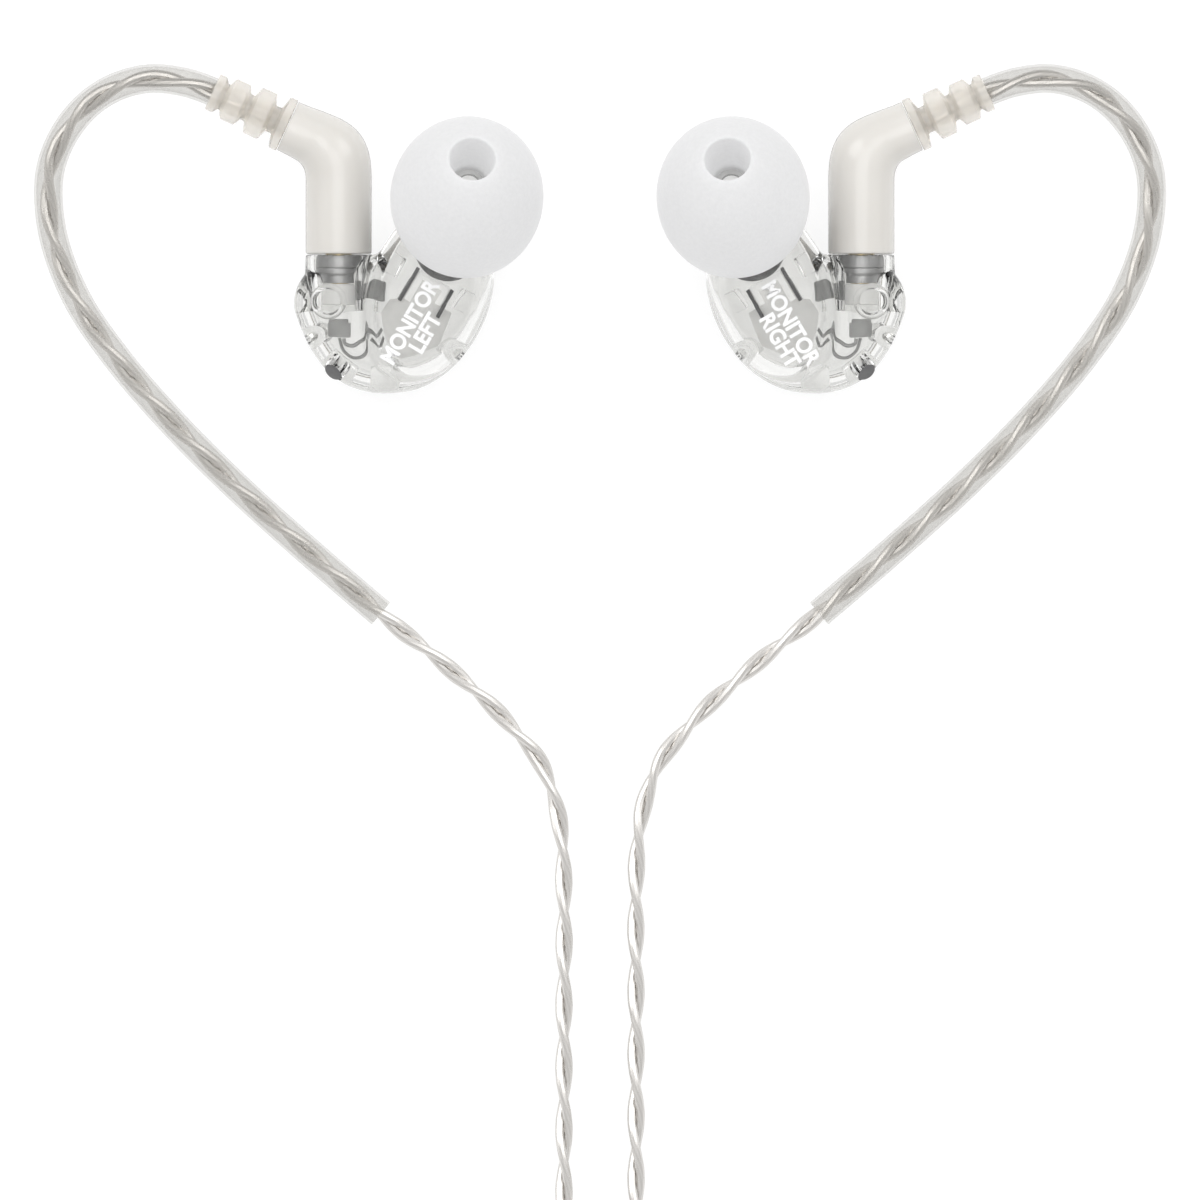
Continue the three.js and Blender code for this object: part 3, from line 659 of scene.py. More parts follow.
def solid_material(name, dark, light, roughness, grain, depth, metallic=0.0, glow=0.0):
    """A moulded or metal surface: mottled colour, uneven roughness and a fine grain.

    A glow makes up for the light that a clear shell bends away from what is inside it."""
    material, tree, shader = new_material(name, {
        "Metallic": metallic, "Emission Color": WHITE_LIGHT, "Emission Strength": glow})
    colour(tree, shader, 900, dark, light)
    roughen(tree, shader, 2070, roughness * 0.8, roughness * 1.2)
    bump(tree, shader, noise(tree, grain, 2.0), 0.5, depth)
    return material


def silicone_material():
    """Frosted white silicone with a matt skin; the glow stands for light coming through its wall."""
    material, tree, shader = new_material("frosted_silicone", {
        "Subsurface Weight": 0.35, "Subsurface Radius": (1.0, 1.0, 1.0), "Subsurface Scale": 0.0012,
        "Emission Color": WHITE_LIGHT, "Emission Strength": 0.32, "Specular IOR Level": 0.3})
    colour(tree, shader, 3000, (0.42, 0.42, 0.425), (0.45, 0.45, 0.455))
    roughen(tree, shader, 4000, 0.5, 0.62)
    bump(tree, shader, noise(tree, 6000, 2.0), 0.5, 0.00002)
    return material


def shell_material():
    """Clear moulded plastic with faint flow marks."""
    material, tree, shader = new_material("clear_shell", {
        "Base Color": (0.88, 0.88, 0.868, 1), "Transmission Weight": 1, "IOR": 1.38})
    roughen(tree, shader, 300, 0.0, 0.04)
    bump(tree, shader, noise(tree, 300, 1.0), 0.08, 0.00003)
    return material


def sleeve_material():
    """Soft clear sleeve, a little hazy, so that it greys what is behind it."""
    material, tree, shader = new_material("clear_sleeve", {})
    colour(tree, shader, 400, (0.7, 0.695, 0.68), (0.74, 0.735, 0.72))
    roughen(tree, shader, 900, 0.12, 0.2)
    clear = node(tree, "ShaderNodeBsdfTransparent", {"Color": (0.93, 0.927, 0.92, 1)})
    haze = spread(tree, facing(tree, 0.35), 0.06, 0.3)
    mix_surface(tree, haze, clear, shader)
    return material


def hazy_material():
    """Soft plastic that is part milky and part clear, so that it dims and blurs what it covers."""
    material, tree, shader = new_material("warm_haze", {
        "Subsurface Weight": 0.3, "Subsurface Radius": MILKY_RADII, "Subsurface Scale": 0.0008,
        "Coat Weight": 0.5, "Coat Roughness": 0.08})
    colour(tree, shader, 500, (0.86, 0.83, 0.78), (0.9, 0.88, 0.84))
    roughen(tree, shader, 1500, 0.18, 0.3)
    clearness = spread(tree, noise(tree, 350), 0.57, 0.67)
    mix_surface(tree, clearness, shader, glass(tree, (0.97, 0.95, 0.92), 0.05, 1.3))
    return material


def milky_material(name, dark, light, rim):
    """Milky translucent plastic under a clear gloss, clearer where it is seen edge on."""
    material, tree, shader = new_material(name, {
        "Subsurface Weight": 0.4, "Subsurface Radius": MILKY_RADII, "Subsurface Scale": 0.001,
        "Coat Weight": 0.6, "Coat Roughness": 0.06})
    colour(tree, shader, 90, dark, light, 1.0)
    roughen(tree, shader, 1500, 0.29, 0.31)
    edge = spread(tree, facing(tree, 0.5), 0.0, 1.0, rim, 0.97)
    mix_surface(tree, edge, shader, glass(tree, (0.94, 0.93, 0.9), 0.12, 1.2))
    return material


def litz_material():
    """Silver strands laid round each wire, seen through its glossy clear jacket."""
    material, tree, shader = new_material("silver_litz", {
        "Metallic": 1.0, "Coat Weight": 1, "Coat Roughness": 0.12})
    along = node(tree, "ShaderNodeUVMap", uv_map="wire")
    parts = node(tree, "ShaderNodeSeparateXYZ")
    tree.links.new(along.outputs[0], parts.inputs[0])
    round_it = maths(tree, "MULTIPLY", parts.outputs["Y"], 7.0)
    slant = maths(tree, "MULTIPLY_ADD", parts.outputs["X"], 700.0, round_it)
    wave = maths(tree, "SINE", maths(tree, "MULTIPLY", slant, 2 * pi))
    fine = spread(tree, wave, 0.0, 1.0, -1.0, 1.0)
    tree.links.new(ramp(tree, fine, (0.6, 0.58, 0.555), (0.68, 0.66, 0.635), 0.1, 0.9),
                   shader.inputs["Base Color"])
    roughen(tree, shader, 1500, 0.24, 0.32)
    bump(tree, shader, fine, 0.15, 0.00001)
    return material


def matt_plastic(name, dark, light, roughness=0.45, glow=0.0):
    return solid_material(name, dark, light, roughness, 4000, 0.00001, 0.0, glow)


LITZ = litz_material()
SLEEVE = sleeve_material()
SHELL = shell_material()
RELIEF = hazy_material()
BOOT = milky_material("milky_boot", (0.66, 0.64, 0.605), (0.7, 0.68, 0.645), 0.75)
WHITE = milky_material("milky_white", (0.63, 0.62, 0.59), (0.7, 0.69, 0.66), 0.85)
SILICONE = silicone_material()
GOLD = solid_material("gold_plate", (0.78, 0.6, 0.28), (0.9, 0.72, 0.38), 0.22, 5000, 0.000005, 1.0)
STEEL = solid_material("satin_steel", (0.38, 0.38, 0.385), (0.46, 0.46, 0.465), 0.35, 3000, 0.00001, 0.6)
LIGHT_GREY = solid_material("light_grey_plastic", (0.5, 0.5, 0.49), (0.58, 0.58, 0.57), 0.4, 3000, 0.00001)
INK = solid_material("white_ink", (0.9, 0.9, 0.9), (0.97, 0.97, 0.97), 0.55, 5000, 0.000004)
DARK = matt_plastic("dark_plastic", (0.1, 0.1, 0.102), (0.15, 0.15, 0.152))
# The glows given to the grey, pale and white frame plastics below are painted light: emission that stands
# in for the light the clear shell bends away from them.
GREY = matt_plastic("grey_plastic", (0.26, 0.26, 0.255), (0.33, 0.33, 0.325), glow=0.04)
PALE = matt_plastic("pale_plastic", (0.74, 0.735, 0.72), (0.79, 0.785, 0.77), 0.5, 0.14)
FRAME_WHITE = matt_plastic("white_frame", (0.78, 0.78, 0.77), (0.86, 0.86, 0.85), 0.5, 0.35)


# ---- The cords ----

def wire_pair(points, diameter, pitch):
    """Two strands wound round each other, as wide together as the cord."""
    strand = diameter / 4
    sides = 10
    mesh = joined([swept(points, strand * 1.04, sides, strand * 0.96, phase, pitch)
                   for phase in (TWIST_START, TWIST_START + pi)])
    reach = reach_along(points)
    layer = mesh.uv_layers.new(name="wire")
    per_strand = len(points) * sides
    for face in mesh.polygons:
        spots = [mesh.loops[i].vertex_index % per_strand for i in face.loop_indices]
        turns = [(spot % sides) / sides for spot in spots]
        wraps = max(turns) - min(turns) > 0.5
        for i, spot, turn in zip(face.loop_indices, spots, turns):
            layer.data[i].uv = (reach[spot // sides], turn + 1 if wraps and turn < 0.5 else turn)
    return mesh


def make_branches():
    path = even(branch_path(), BRANCH_STEP)
    for side, sign in SIDES:
        points = [Vector((sign * p.x, p.y, p.z)) for p in path]
        nodes = [f"{side}_branch_cord", f"{side}_branch_coil", f"{side}_branch_end"]
        mesh = wire_pair(points, BRANCH_D, BRANCH_PITCH)
        piece = put(f"{side}_branch", mesh, "cable", LITZ, nodes)
    return path


def make_trunk(plug_pieces):
    route = TRUNK_START_ROUTE + coil_points(TRUNK_COIL) + TRUNK_END_ROUTE
    path = even(smooth_curve(route), TRUNK_STEP)
    mesh = wire_pair(path, TRUNK_D, TRUNK_PITCH)
    piece = put("trunk", mesh, "cable", LITZ, ["trunk_lead", "trunk_coil", "trunk_end"])


def make_splitter():
    """The Y splitter: a waisted flat body."""
    half = [(0.0026, -SPLITTER_LENGTH), (0.003, -0.0095), (0.0047, -0.004), (0.0047, -0.0008),
            (0.004, 0)]
    mesh = slab(both_halves(half), 0, SPLITTER_THICK, 0.0011, 5, Vector((0, SPLITTER_TOP_Y, 0)))
    put("splitter", mesh, "cable", WHITE, ["cable_splitter"])


PLUG_PARTS = {
    "plug_relief": ("white_plastic", WHITE, [
        (0, 0), (0.0015, 0), (0.0017, 0.0004), (0.0025, 0.0096), (0, 0.0096)]),
    "plug_body": ("white_plastic", WHITE, [
        (0, 0.0099), (0.0029, 0.0099), (0.00325, 0.0106), (0.00325, 0.0256), (0.0028, 0.0266),
        (0, 0.0266)]),
    "plug_sleeve": ("gold", GOLD, [
        (0.001, 0.0268), (0.00245, 0.0268), (0.00245, 0.0276), (0.00175, 0.0276), (0.00175, 0.034),
        (0.001, 0.034)]),
    "plug_ring": ("gold", GOLD, [
        (0.001, 0.0349), (0.00175, 0.0349), (0.00175, 0.0366), (0.001, 0.0366)]),
    "plug_insulator": ("dark_plastic", DARK, [
        (0, 0.027), (0.00085, 0.027), (0.00085, 0.03415), (0.0017, 0.03415), (0.0017, 0.03475),
        (0.00085, 0.03475), (0.00085, 0.03675), (0.0017, 0.03675), (0.0017, 0.0373), (0, 0.0373)]),
    "plug_tip": ("gold", GOLD, [
        (0, 0.03745), (0.00175, 0.03745), (0.00175, 0.0382), (0.00125, 0.0389), (0.0016, 0.0396),
        (0.0006, 0.041), (0, 0.0411)]),
}


def make_plug():
    return [put(f"{name}_fine", lathed(profile, 0.0002, PLUG_PLACE), "cable", material, [name])
            for name, (slot, material, profile) in PLUG_PARTS.items()]


# ---- Solid modelling ----

def evaluated(holder):
    """The mesh that an object comes to; the object is then removed."""
    graph = bpy.context.evaluated_depsgraph_get()
    made = bpy.data.meshes.new_from_object(holder.evaluated_get(graph))
    bpy.data.objects.remove(holder)
    return made


def worked(mesh, kind, **settings):
    """A mesh after one modifier."""
    holder = linked("working", mesh)
    change = holder.modifiers.new(kind, kind)
    for key, value in settings.items():
        setattr(change, key, value)
    return evaluated(holder)


def combined(mesh, tool, operation):
    """Two closed meshes as a UNION, DIFFERENCE or INTERSECT."""
    other = linked("tool", tool)
    made = worked(mesh, "BOOLEAN", object=other, operation=operation, solver="MANIFOLD")
    bpy.data.objects.remove(other)
    return made


def melted(mesh, voxel):
    """A closed mesh remeshed finely and smoothed, so that its creases become fillets."""
    fine = worked(mesh, "REMESH", mode="VOXEL", voxel_size=voxel)
    return worked(fine, "SMOOTH", factor=0.5, iterations=MELT_ROUNDS)


def hull_of(points):
    work = bmesh.new()
    for p in points:
        work.verts.new(p)
    made = bmesh.ops.convex_hull(work, input=work.verts)
    inside = [v for v in made["geom_interior"] if isinstance(v, bmesh.types.BMVert)]
    bmesh.ops.delete(work, geom=inside, context="VERTS")
    loose = [v for v in work.verts if not v.link_faces]
    bmesh.ops.delete(work, geom=loose, context="VERTS")
    return finished(work)


def rod(start, end, radius, sides=48):
    """A closed cylinder between two points."""
    along = end - start
    profile = [(0, 0), (radius, 0), (radius, along.length), (0, along.length)]
    return mesh_of(*turned(profile, start, along.normalized(), sides))


def post(x, y, ends, radius, sides):
    """An upright closed cylinder."""
    low, high = ends
    return rod(Vector((x, y, low)), Vector((x, y, high)), radius, sides)


# ---- The shell ----

def pebble(outline, levels, wall, extra):
    """The convex solid of a plan outline, rounded at foot and crown, thinner by a wall all round."""
    foot, shoulder, crown = levels
    curve = smooth_curve([(x, y, 0) for x, y in outline], closed=True)
    ring = even(curve + [curve[0]], 0.0007)[:-1]
    quarter = [pi / 2 * i / 7 for i in range(8)]
    levels = [(foot[0] * (1 - sin(a)), foot[1] * (1 - cos(a))) for a in quarter]
    levels += [(crown[0] * (1 - cos(a)), shoulder + (crown[1] - shoulder) * sin(a))
               for a in quarter]
    points = list(extra)
    for inset, height in levels:
        level = height + (wall if height < SWIVEL_Z else -wall)
        for i, p in enumerate(ring):
            along = (ring[(i + 1) % len(ring)] - ring[i - 1]).normalized()
            inward = Vector((-along.y, along.x, 0))
            points.append(p + inward * (inset + wall) + UP * level)
    return hull_of(points)


def on_nozzle(distance):
    return TIP_CENTRE + NOZZLE_AXIS * distance


def nozzle_ring(distance, radius):
    turn = UP.rotation_difference(NOZZLE_AXIS).to_matrix()
    return [on_nozzle(distance) + turn @ Vector((a, b, 0)) for a, b in ring_points(radius, 32)]


def nozzle_tube():
    barb = NOZZLE_R + 0.00012
    root = NOZZLE_ROOT - 0.0008
    profile = [(0, root), (NOZZLE_R, root), (NOZZLE_R, 0.0006), (barb, 0.0009), (barb, 0.0012),
               (NOZZLE_R, 0.0019), (NOZZLE_R, NOZZLE_END), (0, NOZZLE_END)]
    return lathed(profile, 0.00015, TIP_CENTRE, NOZZLE_AXIS)


def shell_form(wall, root, radius):
    """The body and the ridge as one, with the ridge drawn up to a ring on the nozzle's axis."""
    body = pebble(BODY_OUTLINE, BODY_LEVELS, wall, ())
    ridge = pebble(RIDGE_OUTLINE, RIDGE_LEVELS, wall, nozzle_ring(root, radius))
    return combined(body, ridge, "UNION")


def shell_outside():
    collar = rod(on_connector(COLLAR_START_Y), on_connector(COLLAR_END_Y), COLLAR_R)
    return melted(combined(shell_form(0, NOZZLE_ROOT, NECK_R), collar, "UNION"), SHELL_VOXEL)


def shell_room():
    return melted(shell_form(SHELL_WALL, ROOM_NECK_END, ROOM_NECK_R), ROOM_VOXEL)


def lens_ring():
    """A raised ring in the top of the shell over the socket."""
    section = [(LENS_R + a, b) for a, b in ring_points(LENS_WIRE_R, 16)]
    return mesh_of(*turned(section, LENS_PLACE, UP, 64))


def shell_fittings():
    """What is moulded onto the inside of the shell: screw posts, clip lugs and the vent's block.

    The posts go from wall to wall, and a stout one has flat sides."""
    found = [post(x, y, BOSS_ENDS, radius, 32 if radius < STOUT_BOSS else 7)
             for x, y, radius in BOSSES]
    found += [block(LUG_SIZE, (x, y, LUG_Z), 0.00015, DIAGONAL) for x, y in LUGS]
    found.append(block(VENT_PAD_SIZE, VENT_PAD_PLACE, 0.0001, VENT_PAD_TURN))
    return found


def shell_holes():
    """The screw holes, the socket's bore, the nozzle's bore and the vent."""
    found = [post(x, y, HOLE_ENDS, HOLE_R, 24) for x, y, radius in BOSSES if radius < STOUT_BOSS]
    found.append(rod(*map(on_connector, SOCKET_BORE_ENDS), SOCKET_BORE_R))
    found.append(rod(on_nozzle(NOZZLE_ROOT - 0.002), on_nozzle(NOZZLE_END + 0.001), NOZZLE_BORE_R))
    found.append(rod(VENT_PLACE - VENT_OUT * 0.0016, VENT_PLACE + VENT_OUT * 0.002, VENT_BORE_R))
    return found


def make_shell():
    """Both halves of the shell; gives back its outside surface for the marks."""
    outside = shell_outside()
    shell = combined(outside, shell_room(), "DIFFERENCE")
    for fitting in shell_fittings():
        shell = combined(shell, combined(fitting, outside, "INTERSECT"), "UNION")
    collar = rod(on_connector(COLLAR_START_Y), on_connector(COLLAR_END_Y - 0.00005), COLLAR_R - 0.0001)
    for more in (collar, nozzle_tube()):
        shell = combined(shell, more, "UNION")
    for hole in shell_holes():
        shell = combined(shell, hole, "DIFFERENCE")
    shell = combined(shell, lens_ring(), "UNION")
    reach = 0.04
    for name, sign in (("face_shell", -1), ("nozzle_shell", 1)):
        middle = Vector((-0.017, 0.004, SWIVEL_Z + sign * (PARTING_GAP + reach) / 2))
        half = combined(shell, block((reach, reach, reach), middle, 1e-6), "INTERSECT")
        put_both(f"{name}_clear", smoothed(half, 40), "earphone", SHELL, [name])
    return outside


# ---- The ear tip ----

def arc(radius, start, end, count):
    """An arc about the origin as (radius, height), between two angles in degrees."""
    angles = [radians(start + (end - start) * i / count) for i in range(count + 1)]
    return [(radius * cos(a), radius * sin(a) * TIP_STRETCH) for a in angles]


def make_ear_tip():
    rim = degrees(asin(TIP_RIM / TIP_STRETCH / TIP_R))
    lip = arc(TIP_R, rim, 66, 34)
    mouth = TIP_STRETCH * sqrt(TIP_R ** 2 - MOUTH_R ** 2)
    crater = rounded([lip[-1], (MOUTH_R, mouth - 0.0001), (MOUTH_R - 0.00022, mouth - 0.0036),
                      (0.00148, mouth - 0.0046), (STEM_BORE_R, mouth - 0.0056)], 0.0006, 6)
    stem = [(STEM_BORE_R, TIP_RIM - 0.0003), (STEM_R, TIP_RIM - 0.0003), (STEM_R, STEM_TOP)]
    inner = arc(TIP_R - TIP_WALL, 50, rim - 2, 16)
    shape = turned(lip[:-1] + crater + stem + inner, TIP_CENTRE, NOZZLE_AXIS, 72)
    put_both("ear_tip_soft", mesh_of(*shape, sharp=60), "tip", SILICONE, ["ear_tip"])


# ---- The boot, the strain relief and the sleeve ----

def swell(distance):
    """How much fuller the boot is at a distance along it, towards the outside of its bend."""
    share = min(max((distance - BEND_START) / (BEND_R * BEND_ANGLE), 0), 1)
    return BEND_SWELL * sin(pi * share) ** 2


def bent(vertices, faces):
    found = []
    for v in vertices:
        place, ahead = elbow(v.y)
        across = Vector((ahead.y, -ahead.x, 0))
        found.append(place + across * (v.x + swell(v.y)) + UP * v.z)
    return found, faces


def make_boot():
    foot, room, room_r = -0.00015, 0.003, 0.0013
    profile = rounded([(0, room), (room_r, room), (room_r, foot), (LEG_R, foot), (LEG_R, room)], 0.0002)
    profile.append((LEG_R, 0.0045))
    steps = 28
    for i in range(steps):
        height = BEND_START + (BOOT_LENGTH - BEND_START) * i / steps
        profile.append((LEG_R + (ARM_R - LEG_R) * smoothstep(i / steps) + swell(height), height))
    profile += rounded([(ARM_R, BOOT_LENGTH - 0.0002), (ARM_R, BOOT_LENGTH), (0, BOOT_LENGTH)], 0.0001)
    mesh = mesh_of(*bent(*turned(profile, sides=72)))
    put_both("elbow_boot_milky", mesh, "cable", BOOT, ["elbow_boot"])


def make_strain_relief():
    """A collar and three ribs with sloping sides, each as (radius, start, end)."""
    bore, neck, slope = 0.00092, 0.00115, 0.00033
    ribs = [(0.0023, 0.00008, 0.00075), (0.00206, 0.0019, 0.0032), (0.00181, 0.0042, 0.00545),
            (0.0016, 0.00625, RELIEF_END)]
    radius, start, end = ribs[0]
    profile = [(bore, start), (radius, start), (radius, end), (neck, end + slope)]
    for radius, start, end in ribs[1:]:
        profile += [(neck, start - slope), (radius, start), (radius, end), (neck, end + slope)]
    profile[-1] = (bore, RELIEF_END)
    mesh = lathed(profile, 0.00012, *elbow(BOOT_LENGTH), 56)
    put_both("strain_relief_clear", mesh, "cable", RELIEF, ["strain_relief"])


def make_sleeve(path):
    place, ahead = elbow(BOOT_LENGTH)
    first, last = (min(range(len(path)), key=lambda i: (path[i] - end).length)
                   for end in (place + ahead * (RELIEF_END + 0.00005), SLEEVE_LAST))
    mesh = mesh_of(*hollow(path[first:last + 1], SLEEVE_R, SLEEVE_BORE_R, 28))
    put_both("hook_sleeve_clear", mesh, "cable", SLEEVE, ["hook_sleeve"])


# ---- What shows through the shell ----

# Turned about the connector's axis: body, slot, material, replaced nodes, rounding and profile of
# (radius, Y).
CONNECTOR_PARTS = {
    "connector_socket_fine": ("earphone", "steel", STEEL, ["connector_socket"], 0.00005, [
        (0.00152, 0.005), (0.00175, 0.005), (0.00175, 0.0056), (0.00195, 0.0058), (0.00195, 0.0062),
        (0.00185, 0.00625), (0.00195, 0.0063), (0.00195, 0.0072), (0.00152, 0.0072)]),
    "socket_holder": ("earphone", "pale_plastic", PALE, [], 0.0001, [
        (0, 0.0032), (0.0019, 0.0032), (0.0019, 0.0048), (0.00175, 0.00495), (0.0015, 0.00495),
        (0.0015, 0.004), (0.00055, 0.004), (0.00055, 0.0056), (0.00038, 0.0056), (0.00038, 0.0038),
        (0, 0.0038)]),
    "snap_ring_fine": ("ring", "gold", GOLD, ["snap_ring"], 0.00005, [
        (0.0012, 0.005), (0.00138, 0.00505), (0.00138, 0.00535), (0.0012, 0.0054)]),
    "connector_barrel_fine": ("cable", "gold", GOLD, ["connector_barrel"], 0.00008, [
        (0.001, 0.0045), (0.0011, 0.00465), (0.0011, 0.0103), (0.00075, 0.0103), (0.00075, 0.0045)]),
}


def make_connector():
    """The socket with what is in it, then the terminal and the board that it is wired to."""
    axis = on_connector(0)
    for name, (body, slot, material, replaces, bevel, profile) in CONNECTOR_PARTS.items():
        put_both(name, lathed(profile, bevel, axis), body, material, replaces)
    pin = [(0, 0.0046), (0.00015, 0.00465), (0.0002, 0.0049), (0.0002, 0.0101), (0, 0.0101)]
    put_fine("connector_pin", lathed(pin, 0.00005, axis, sides=20), "cable", GOLD)
    terminal = block(TERMINAL_SIZE, on_connector(TERMINAL_Y), 0.00012)
    put_fine("socket_terminal", terminal, "earphone", GREY)
    board = block(BOARD_SIZE, BOARD_PLACE, 0.00008)
    put_fine("crossover_board", board, "earphone", GREY)


# The dynamic driver, turned about the nozzle's direction.
DRIVER_INNER_R = DRIVER_R - 0.00035
DOME_R = DRIVER_INNER_R - 0.00015
DRIVER_PARTS = {
    "driver_cup": ("dark_plastic", DARK, 0.0001, [
        (0, -0.0009), (DRIVER_INNER_R, -0.0009), (DRIVER_R, -0.0005), (DRIVER_R, 0.0009),
        (DRIVER_INNER_R, 0.0009), (DRIVER_INNER_R, 0.00035), (0, 0.00035)]),
    "driver_diaphragm": ("pale_plastic", STEEL, 0.0002, [
        (0, 0.0005), (DOME_R, 0.00045), (DOME_R, 0.0006), (0.0013, 0.00085), (0.001, 0.0007),
        (0, 0.00095)]),
    "driver_magnet": ("steel", STEEL, 0.0001, [
        (0, -0.0019), (0.0012, -0.0019), (0.0014, -0.0017), (0.0014, -0.001), (0, -0.001)]),
}


def make_drivers():
    for name, (slot, material, bevel, profile) in DRIVER_PARTS.items():
        put_fine(name, lathed(profile, bevel, DRIVER_CENTRE, NOZZLE_AXIS), "earphone", material)
    can = block(CAN_SIZE, CAN_CENTRE, 0.0002, DIAGONAL)
    put_fine("armature_driver", can, "earphone", STEEL)


def on_carrier(along, across):
    """A plan point in the drivers' frame, which runs along the shell's diagonal."""
    ahead = Vector((cos(DIAGONAL), sin(DIAGONAL)))
    right = Vector((ahead.y, -ahead.x))
    return Vector(CARRIER_CENTRE[:2]) + ahead * along + right * across


# The carrier's pale plate, dark rails and white frame, outlined in the drivers' frame.
CARRIER_PARTS = {
    "driver_plate": ("pale_plastic", PALE, 0.00485, 0.0051, 0.00006, ["driver_bracket"], [
        (-0.0057, 0.00075), (-0.0028, 0.003), (0.0002, 0.0025), (0.0002, 0.0015), (0.0019, 0.0015),
        (0.0019, -0.0016), (-0.0009, -0.0016), (-0.00135, -0.00235), (-0.0029, -0.0027),
        (-0.0043, -0.0016)]),
    "inner_rail": ("dark_plastic", DARK, 0.0052, 0.0056, 0.00005, [], [
        (-0.0011, -0.00178), (-0.0011, -0.00148), (0.0021, -0.00148), (0.0021, -0.00178)]),
    "outer_rail": ("dark_plastic", DARK, 0.0052, 0.0056, 0.00005, [], [
        (-0.00075, 0.00148), (-0.00075, 0.00182), (0.0019, 0.00182), (0.0019, 0.00148)]),
    "white_frame": ("pale_plastic", FRAME_WHITE, 0.0052, 0.0055, 0.00005, [], [
        (-0.00075, -0.0014), (-0.00075, -0.00085), (0.0014, -0.00085), (0.0014, 0.0009),
        (0.0002, 0.0009), (0.0002, 0.0014), (0.00195, 0.0014), (0.00195, -0.0014)]),
}


def make_carrier():
    for name, (slot, material, low, high, bevel, replaces, outline) in CARRIER_PARTS.items():
        mesh = slab([on_carrier(*p) for p in outline], low, high, bevel, 2)
        put_both(name, mesh, "earphone", material, replaces)


WIRE_R = 0.00017
WIRE_ROUTES = {
    "upper_wire": [
        (-0.02135, 0.0004, 0.0053), (-0.02125, -0.00005, 0.0053), (-0.02055, -0.0002, 0.00535),
        (-0.01995, 0.00015, 0.0053), (-0.0192, 0.0005, 0.0051), (-0.0184, 0.0012, 0.0049)],
    "lower_wire": [
        (-0.02175, 0.0004, 0.0047), (-0.0215, -0.00075, 0.0046), (-0.0207, -0.00135, 0.0045),
        (-0.01995, -0.0012, 0.0045), (-0.0192, -0.0006, 0.0045), (-0.01835, 0.0005, 0.0045)],
}


def make_wires():
    for name, route in WIRE_ROUTES.items():
        mesh = mesh_of(*swept(even(smooth_curve(route), 0.0001), WIRE_R, 16))
        put_fine(name, mesh, "earphone", GREY)


def disc(radius, half_thick):
    return [(0, -half_thick), (radius, -half_thick), (radius, half_thick), (0, half_thick)]


def make_small_parts():
    """The nozzle's rim and filter, and the vent's mesh."""
    rim = [(0.00093, -0.0002), (0.00133, -0.0002), (0.00133, 0.0001), (0.00093, 0.0001)]
    rim = lathed(rim, 0.00004, on_nozzle(NOZZLE_END), NOZZLE_AXIS, steps=2)
    put_both("nozzle_rim", rim, "earphone", LIGHT_GREY)
    screen = lathed(disc(0.00086, 0.00012), 0.00004, on_nozzle(NOZZLE_END - 0.0002), NOZZLE_AXIS)
    put_fine("nozzle_filter", screen, "earphone", PALE)
    vent = lathed(disc(0.0008, 0.0002), 0.00005, VENT_PLACE, VENT_OUT)
    put_fine("vent_mesh", vent, "earphone", DARK)


# ---- The printed marks ----

def lettering(word):
    """A word as a flat mesh with its capitals of unit height, from the built-in font."""
    text = bpy.data.curves.new("word", "FONT")
    text.body = word
    text.offset = LETTER_WEIGHT
    text.resolution_u = 6
    mesh = evaluated(linked("word", text))
    tall = max(v.co.y for v in mesh.vertices)
    mesh.transform(Matrix.Scale(1 / tall, 4))
    mesh.transform(Matrix.Scale(LETTER_WIDTH, 4, Vector((1, 0, 0))))
    return mesh


def inked(mesh, tree):
    """A flat mesh cut into small faces, dropped onto a surface and raised a little."""
    work = bmesh.new()
    work.from_mesh(mesh)
    for _ in range(5):
        bmesh.ops.triangulate(work, faces=work.faces)
        long = [e for e in work.edges if e.calc_length() > INK_EDGE]
        bmesh.ops.subdivide_edges(work, edges=long, cuts=1, use_grid_fill=False)
    bmesh.ops.triangulate(work, faces=work.faces)
    for v in work.verts:
        hit = tree.ray_cast(Vector((v.co.x, v.co.y, 0.05)), -UP)[0]
        v.co.z = (hit.z if hit else 0.006) + INK_THICK
    raise_faces(work, work.faces[:], INK_THICK)
    return finished(work)


def make_marks(outside):
    """White ink laid on the shell, each letter following the surface under it."""
    for side, sign in SIDES:
        surface = outside if sign > 0 else mirrored(outside)
        tree = BVHTree.FromPolygons([v.co for v in surface.vertices],
                                    [list(p.vertices) for p in surface.polygons])
        turn = Matrix.Rotation(sign * MARK_SLOPE, 4, "Z")
        for line, (word, start) in enumerate(MARKS[side]):
            mesh = lettering(word)
            mesh.transform(Matrix.Translation((*start, 0)) @ turn @ Matrix.Scale(CAP_HEIGHT, 4))
            put(f"{side}_mark_{line + 1}", inked(mesh, tree), f"{side}_earphone", INK)


# ---- Further down the cable ----

def make_slider():
    """A bead with its corners cut, and a channel for each branch."""
    wide, tall, corner = 0.0055, 0.0045, 0.0012
    half = [(wide - corner, -tall), (wide, -tall + corner), (wide, tall - corner), (wide - corner, tall)]
    bead = slab(both_halves(half), 0, SLIDER_THICK, 0.0008, 4, Vector((0, SLIDER_Y, 0)))
    for x in (BRANCH_X, -BRANCH_X):
        channel = block(CHANNEL_SIZE, (x, SLIDER_Y, 0), 0.0003)
        bead = combined(bead, channel, "DIFFERENCE")
    put("chin_slider_fine", smoothed(bead), "slider", WHITE, ["chin_slider"])


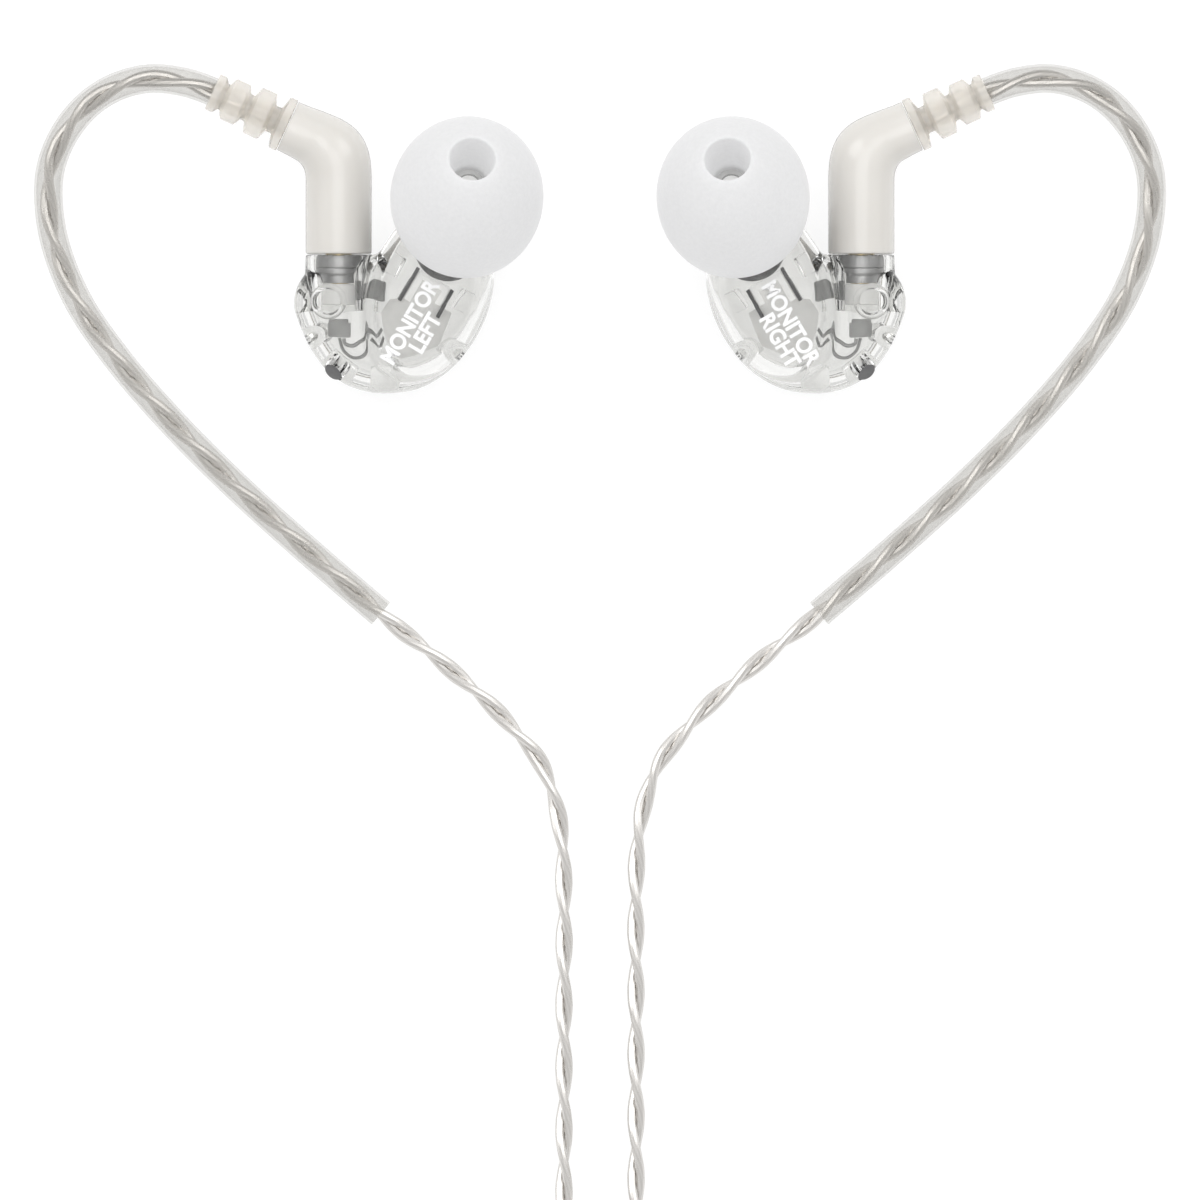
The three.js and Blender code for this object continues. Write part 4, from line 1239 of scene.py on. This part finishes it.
def strap_loop(half_wide, half_tall):
    """The outline of a strap seen along the cord: a rectangle with round corners."""
    loop = []
    for k, (sign_out, sign_up) in enumerate(((1, 1), (-1, 1), (-1, -1), (1, -1))):
        for i in range(7):
            turn = pi / 2 * (k + i / 6)
            loop.append((sign_out * (half_wide - TIE_CORNER_R) + TIE_CORNER_R * cos(turn),
                         sign_up * (half_tall - TIE_CORNER_R) + TIE_CORNER_R * sin(turn)))
    return loop


def make_tie(name, coil, centre, angle, half_wide, top):
    """A flat strap round a coil's bundle of turns, with its clasp on top."""
    radius = sum(slot[0] for slot in coil["slots"]) / len(coil["slots"])
    out = Vector((cos(angle), sin(angle), 0))
    along = Vector((-out.y, out.x, 0))
    middle = Vector((*centre, (TIE_FOOT + top) / 2)) + out * radius
    half_tall = (top - TIE_FOOT) / 2
    loop = strap_loop(half_wide, half_tall)
    vertices, faces = [], []
    for a, b in loop:
        normal = Vector((a, b)).normalized()
        for reach in (0, TIE_THICK):
            for step in (-TIE_HALF_WIDTH, TIE_HALF_WIDTH):
                vertices.append(middle + out * (a + normal.x * reach)
                                + UP * (b + normal.y * reach) + along * step)
    for k in range(len(loop)):
        a, b = 4 * k, 4 * ((k + 1) % len(loop))
        faces += [[a, a + 1, b + 1, b], [a + 3, a + 2, b + 2, b + 3], [a + 2, a, b, b + 2],
                  [a + 1, a + 3, b + 3, b + 1]]
    put(f"{name}_tie", mesh_of(vertices, faces), "cable", LIGHT_GREY)
    clasp = block(CLASP_SIZE, middle + UP * (half_tall + CLASP_RISE), 0.0002, angle)
    put(f"{name}_tie_clasp", clasp, "cable", LIGHT_GREY)


def make_ties():
    x, y = BRANCH_COIL["centre"]
    for side, sign in SIDES:
        make_tie(f"{side}_coil", BRANCH_COIL, (sign * x, y), -pi / 2, 0.0017, 0.0036)
    make_tie("trunk_coil", TRUNK_COIL, TRUNK_COIL["centre"], pi, 0.0036, 0.0094)


# ---- The surface and the light ----

def make_floor():
    reach = 3.0
    corners = [(-reach, -reach, 0), (reach, -reach, 0), (reach, reach, 0), (-reach, reach, 0)]
    mesh = bpy.data.meshes.new("floor")
    mesh.from_pydata(corners, [], [(0, 1, 2, 3)])
    floor = linked("floor", mesh)
    floor.location.z = -0.00005
    material, tree, shader = new_material("pale_floor", {
        "Roughness": 0.9, "Specular IOR Level": 0.1, "Emission Color": WHITE_LIGHT,
        "Emission Strength": 0.82})
    colour(tree, shader, 40, (0.22, 0.22, 0.22), (0.24, 0.24, 0.24))
    mesh.materials.append(material)


def make_world():
    """A white sky, darker towards the horizon to draw clear edges, with a soft light overhead."""
    world = bpy.data.worlds.new("studio")
    bpy.context.scene.world = world
    world.use_nodes = True
    tree = world.node_tree
    place = node(tree, "ShaderNodeTexCoord")
    parts = node(tree, "ShaderNodeSeparateXYZ")
    tree.links.new(place.outputs["Generated"], parts.inputs[0])
    rise = spread(tree, parts.outputs["Z"], 0.45, 0.84, 0.0, 0.55)
    overhead = spread(tree, parts.outputs["Z"], 0.0, 1.4, 0.9, 0.97, "SMOOTHSTEP")
    sky = tree.nodes["Background"]
    sky.inputs["Color"].default_value = WHITE_LIGHT
    tree.links.new(maths(tree, "ADD", rise, overhead), sky.inputs["Strength"])


def make_lamp(name, place, power):
    """A round lamp that points at the middle of the surface."""
    data = bpy.data.lights.new(name, "AREA")
    data.shape = "DISK"
    data.size = LAMP_SIZE
    data.energy = power
    lamp = linked(name, data)
    lamp.location = place
    lamp.rotation_euler = (Vector(place) * -1).to_track_quat("-Z", "Y").to_euler()


# ---- The model ----

make_splitter()
branch = make_branches()
make_trunk(make_plug())
outside = make_shell()
make_ear_tip()
make_boot()
make_strain_relief()
make_sleeve(branch)
make_connector()
make_drivers()
make_carrier()
make_wires()
make_small_parts()
make_marks(outside)
make_slider()
make_ties()
make_floor()
make_world()
make_lamp("key", (-0.5, 0.45, 0.7), 2.0)
make_lamp("fill", (0.5, 0.45, 0.7), 1.6)
bpy.context.scene.view_settings.view_transform = "Standard"
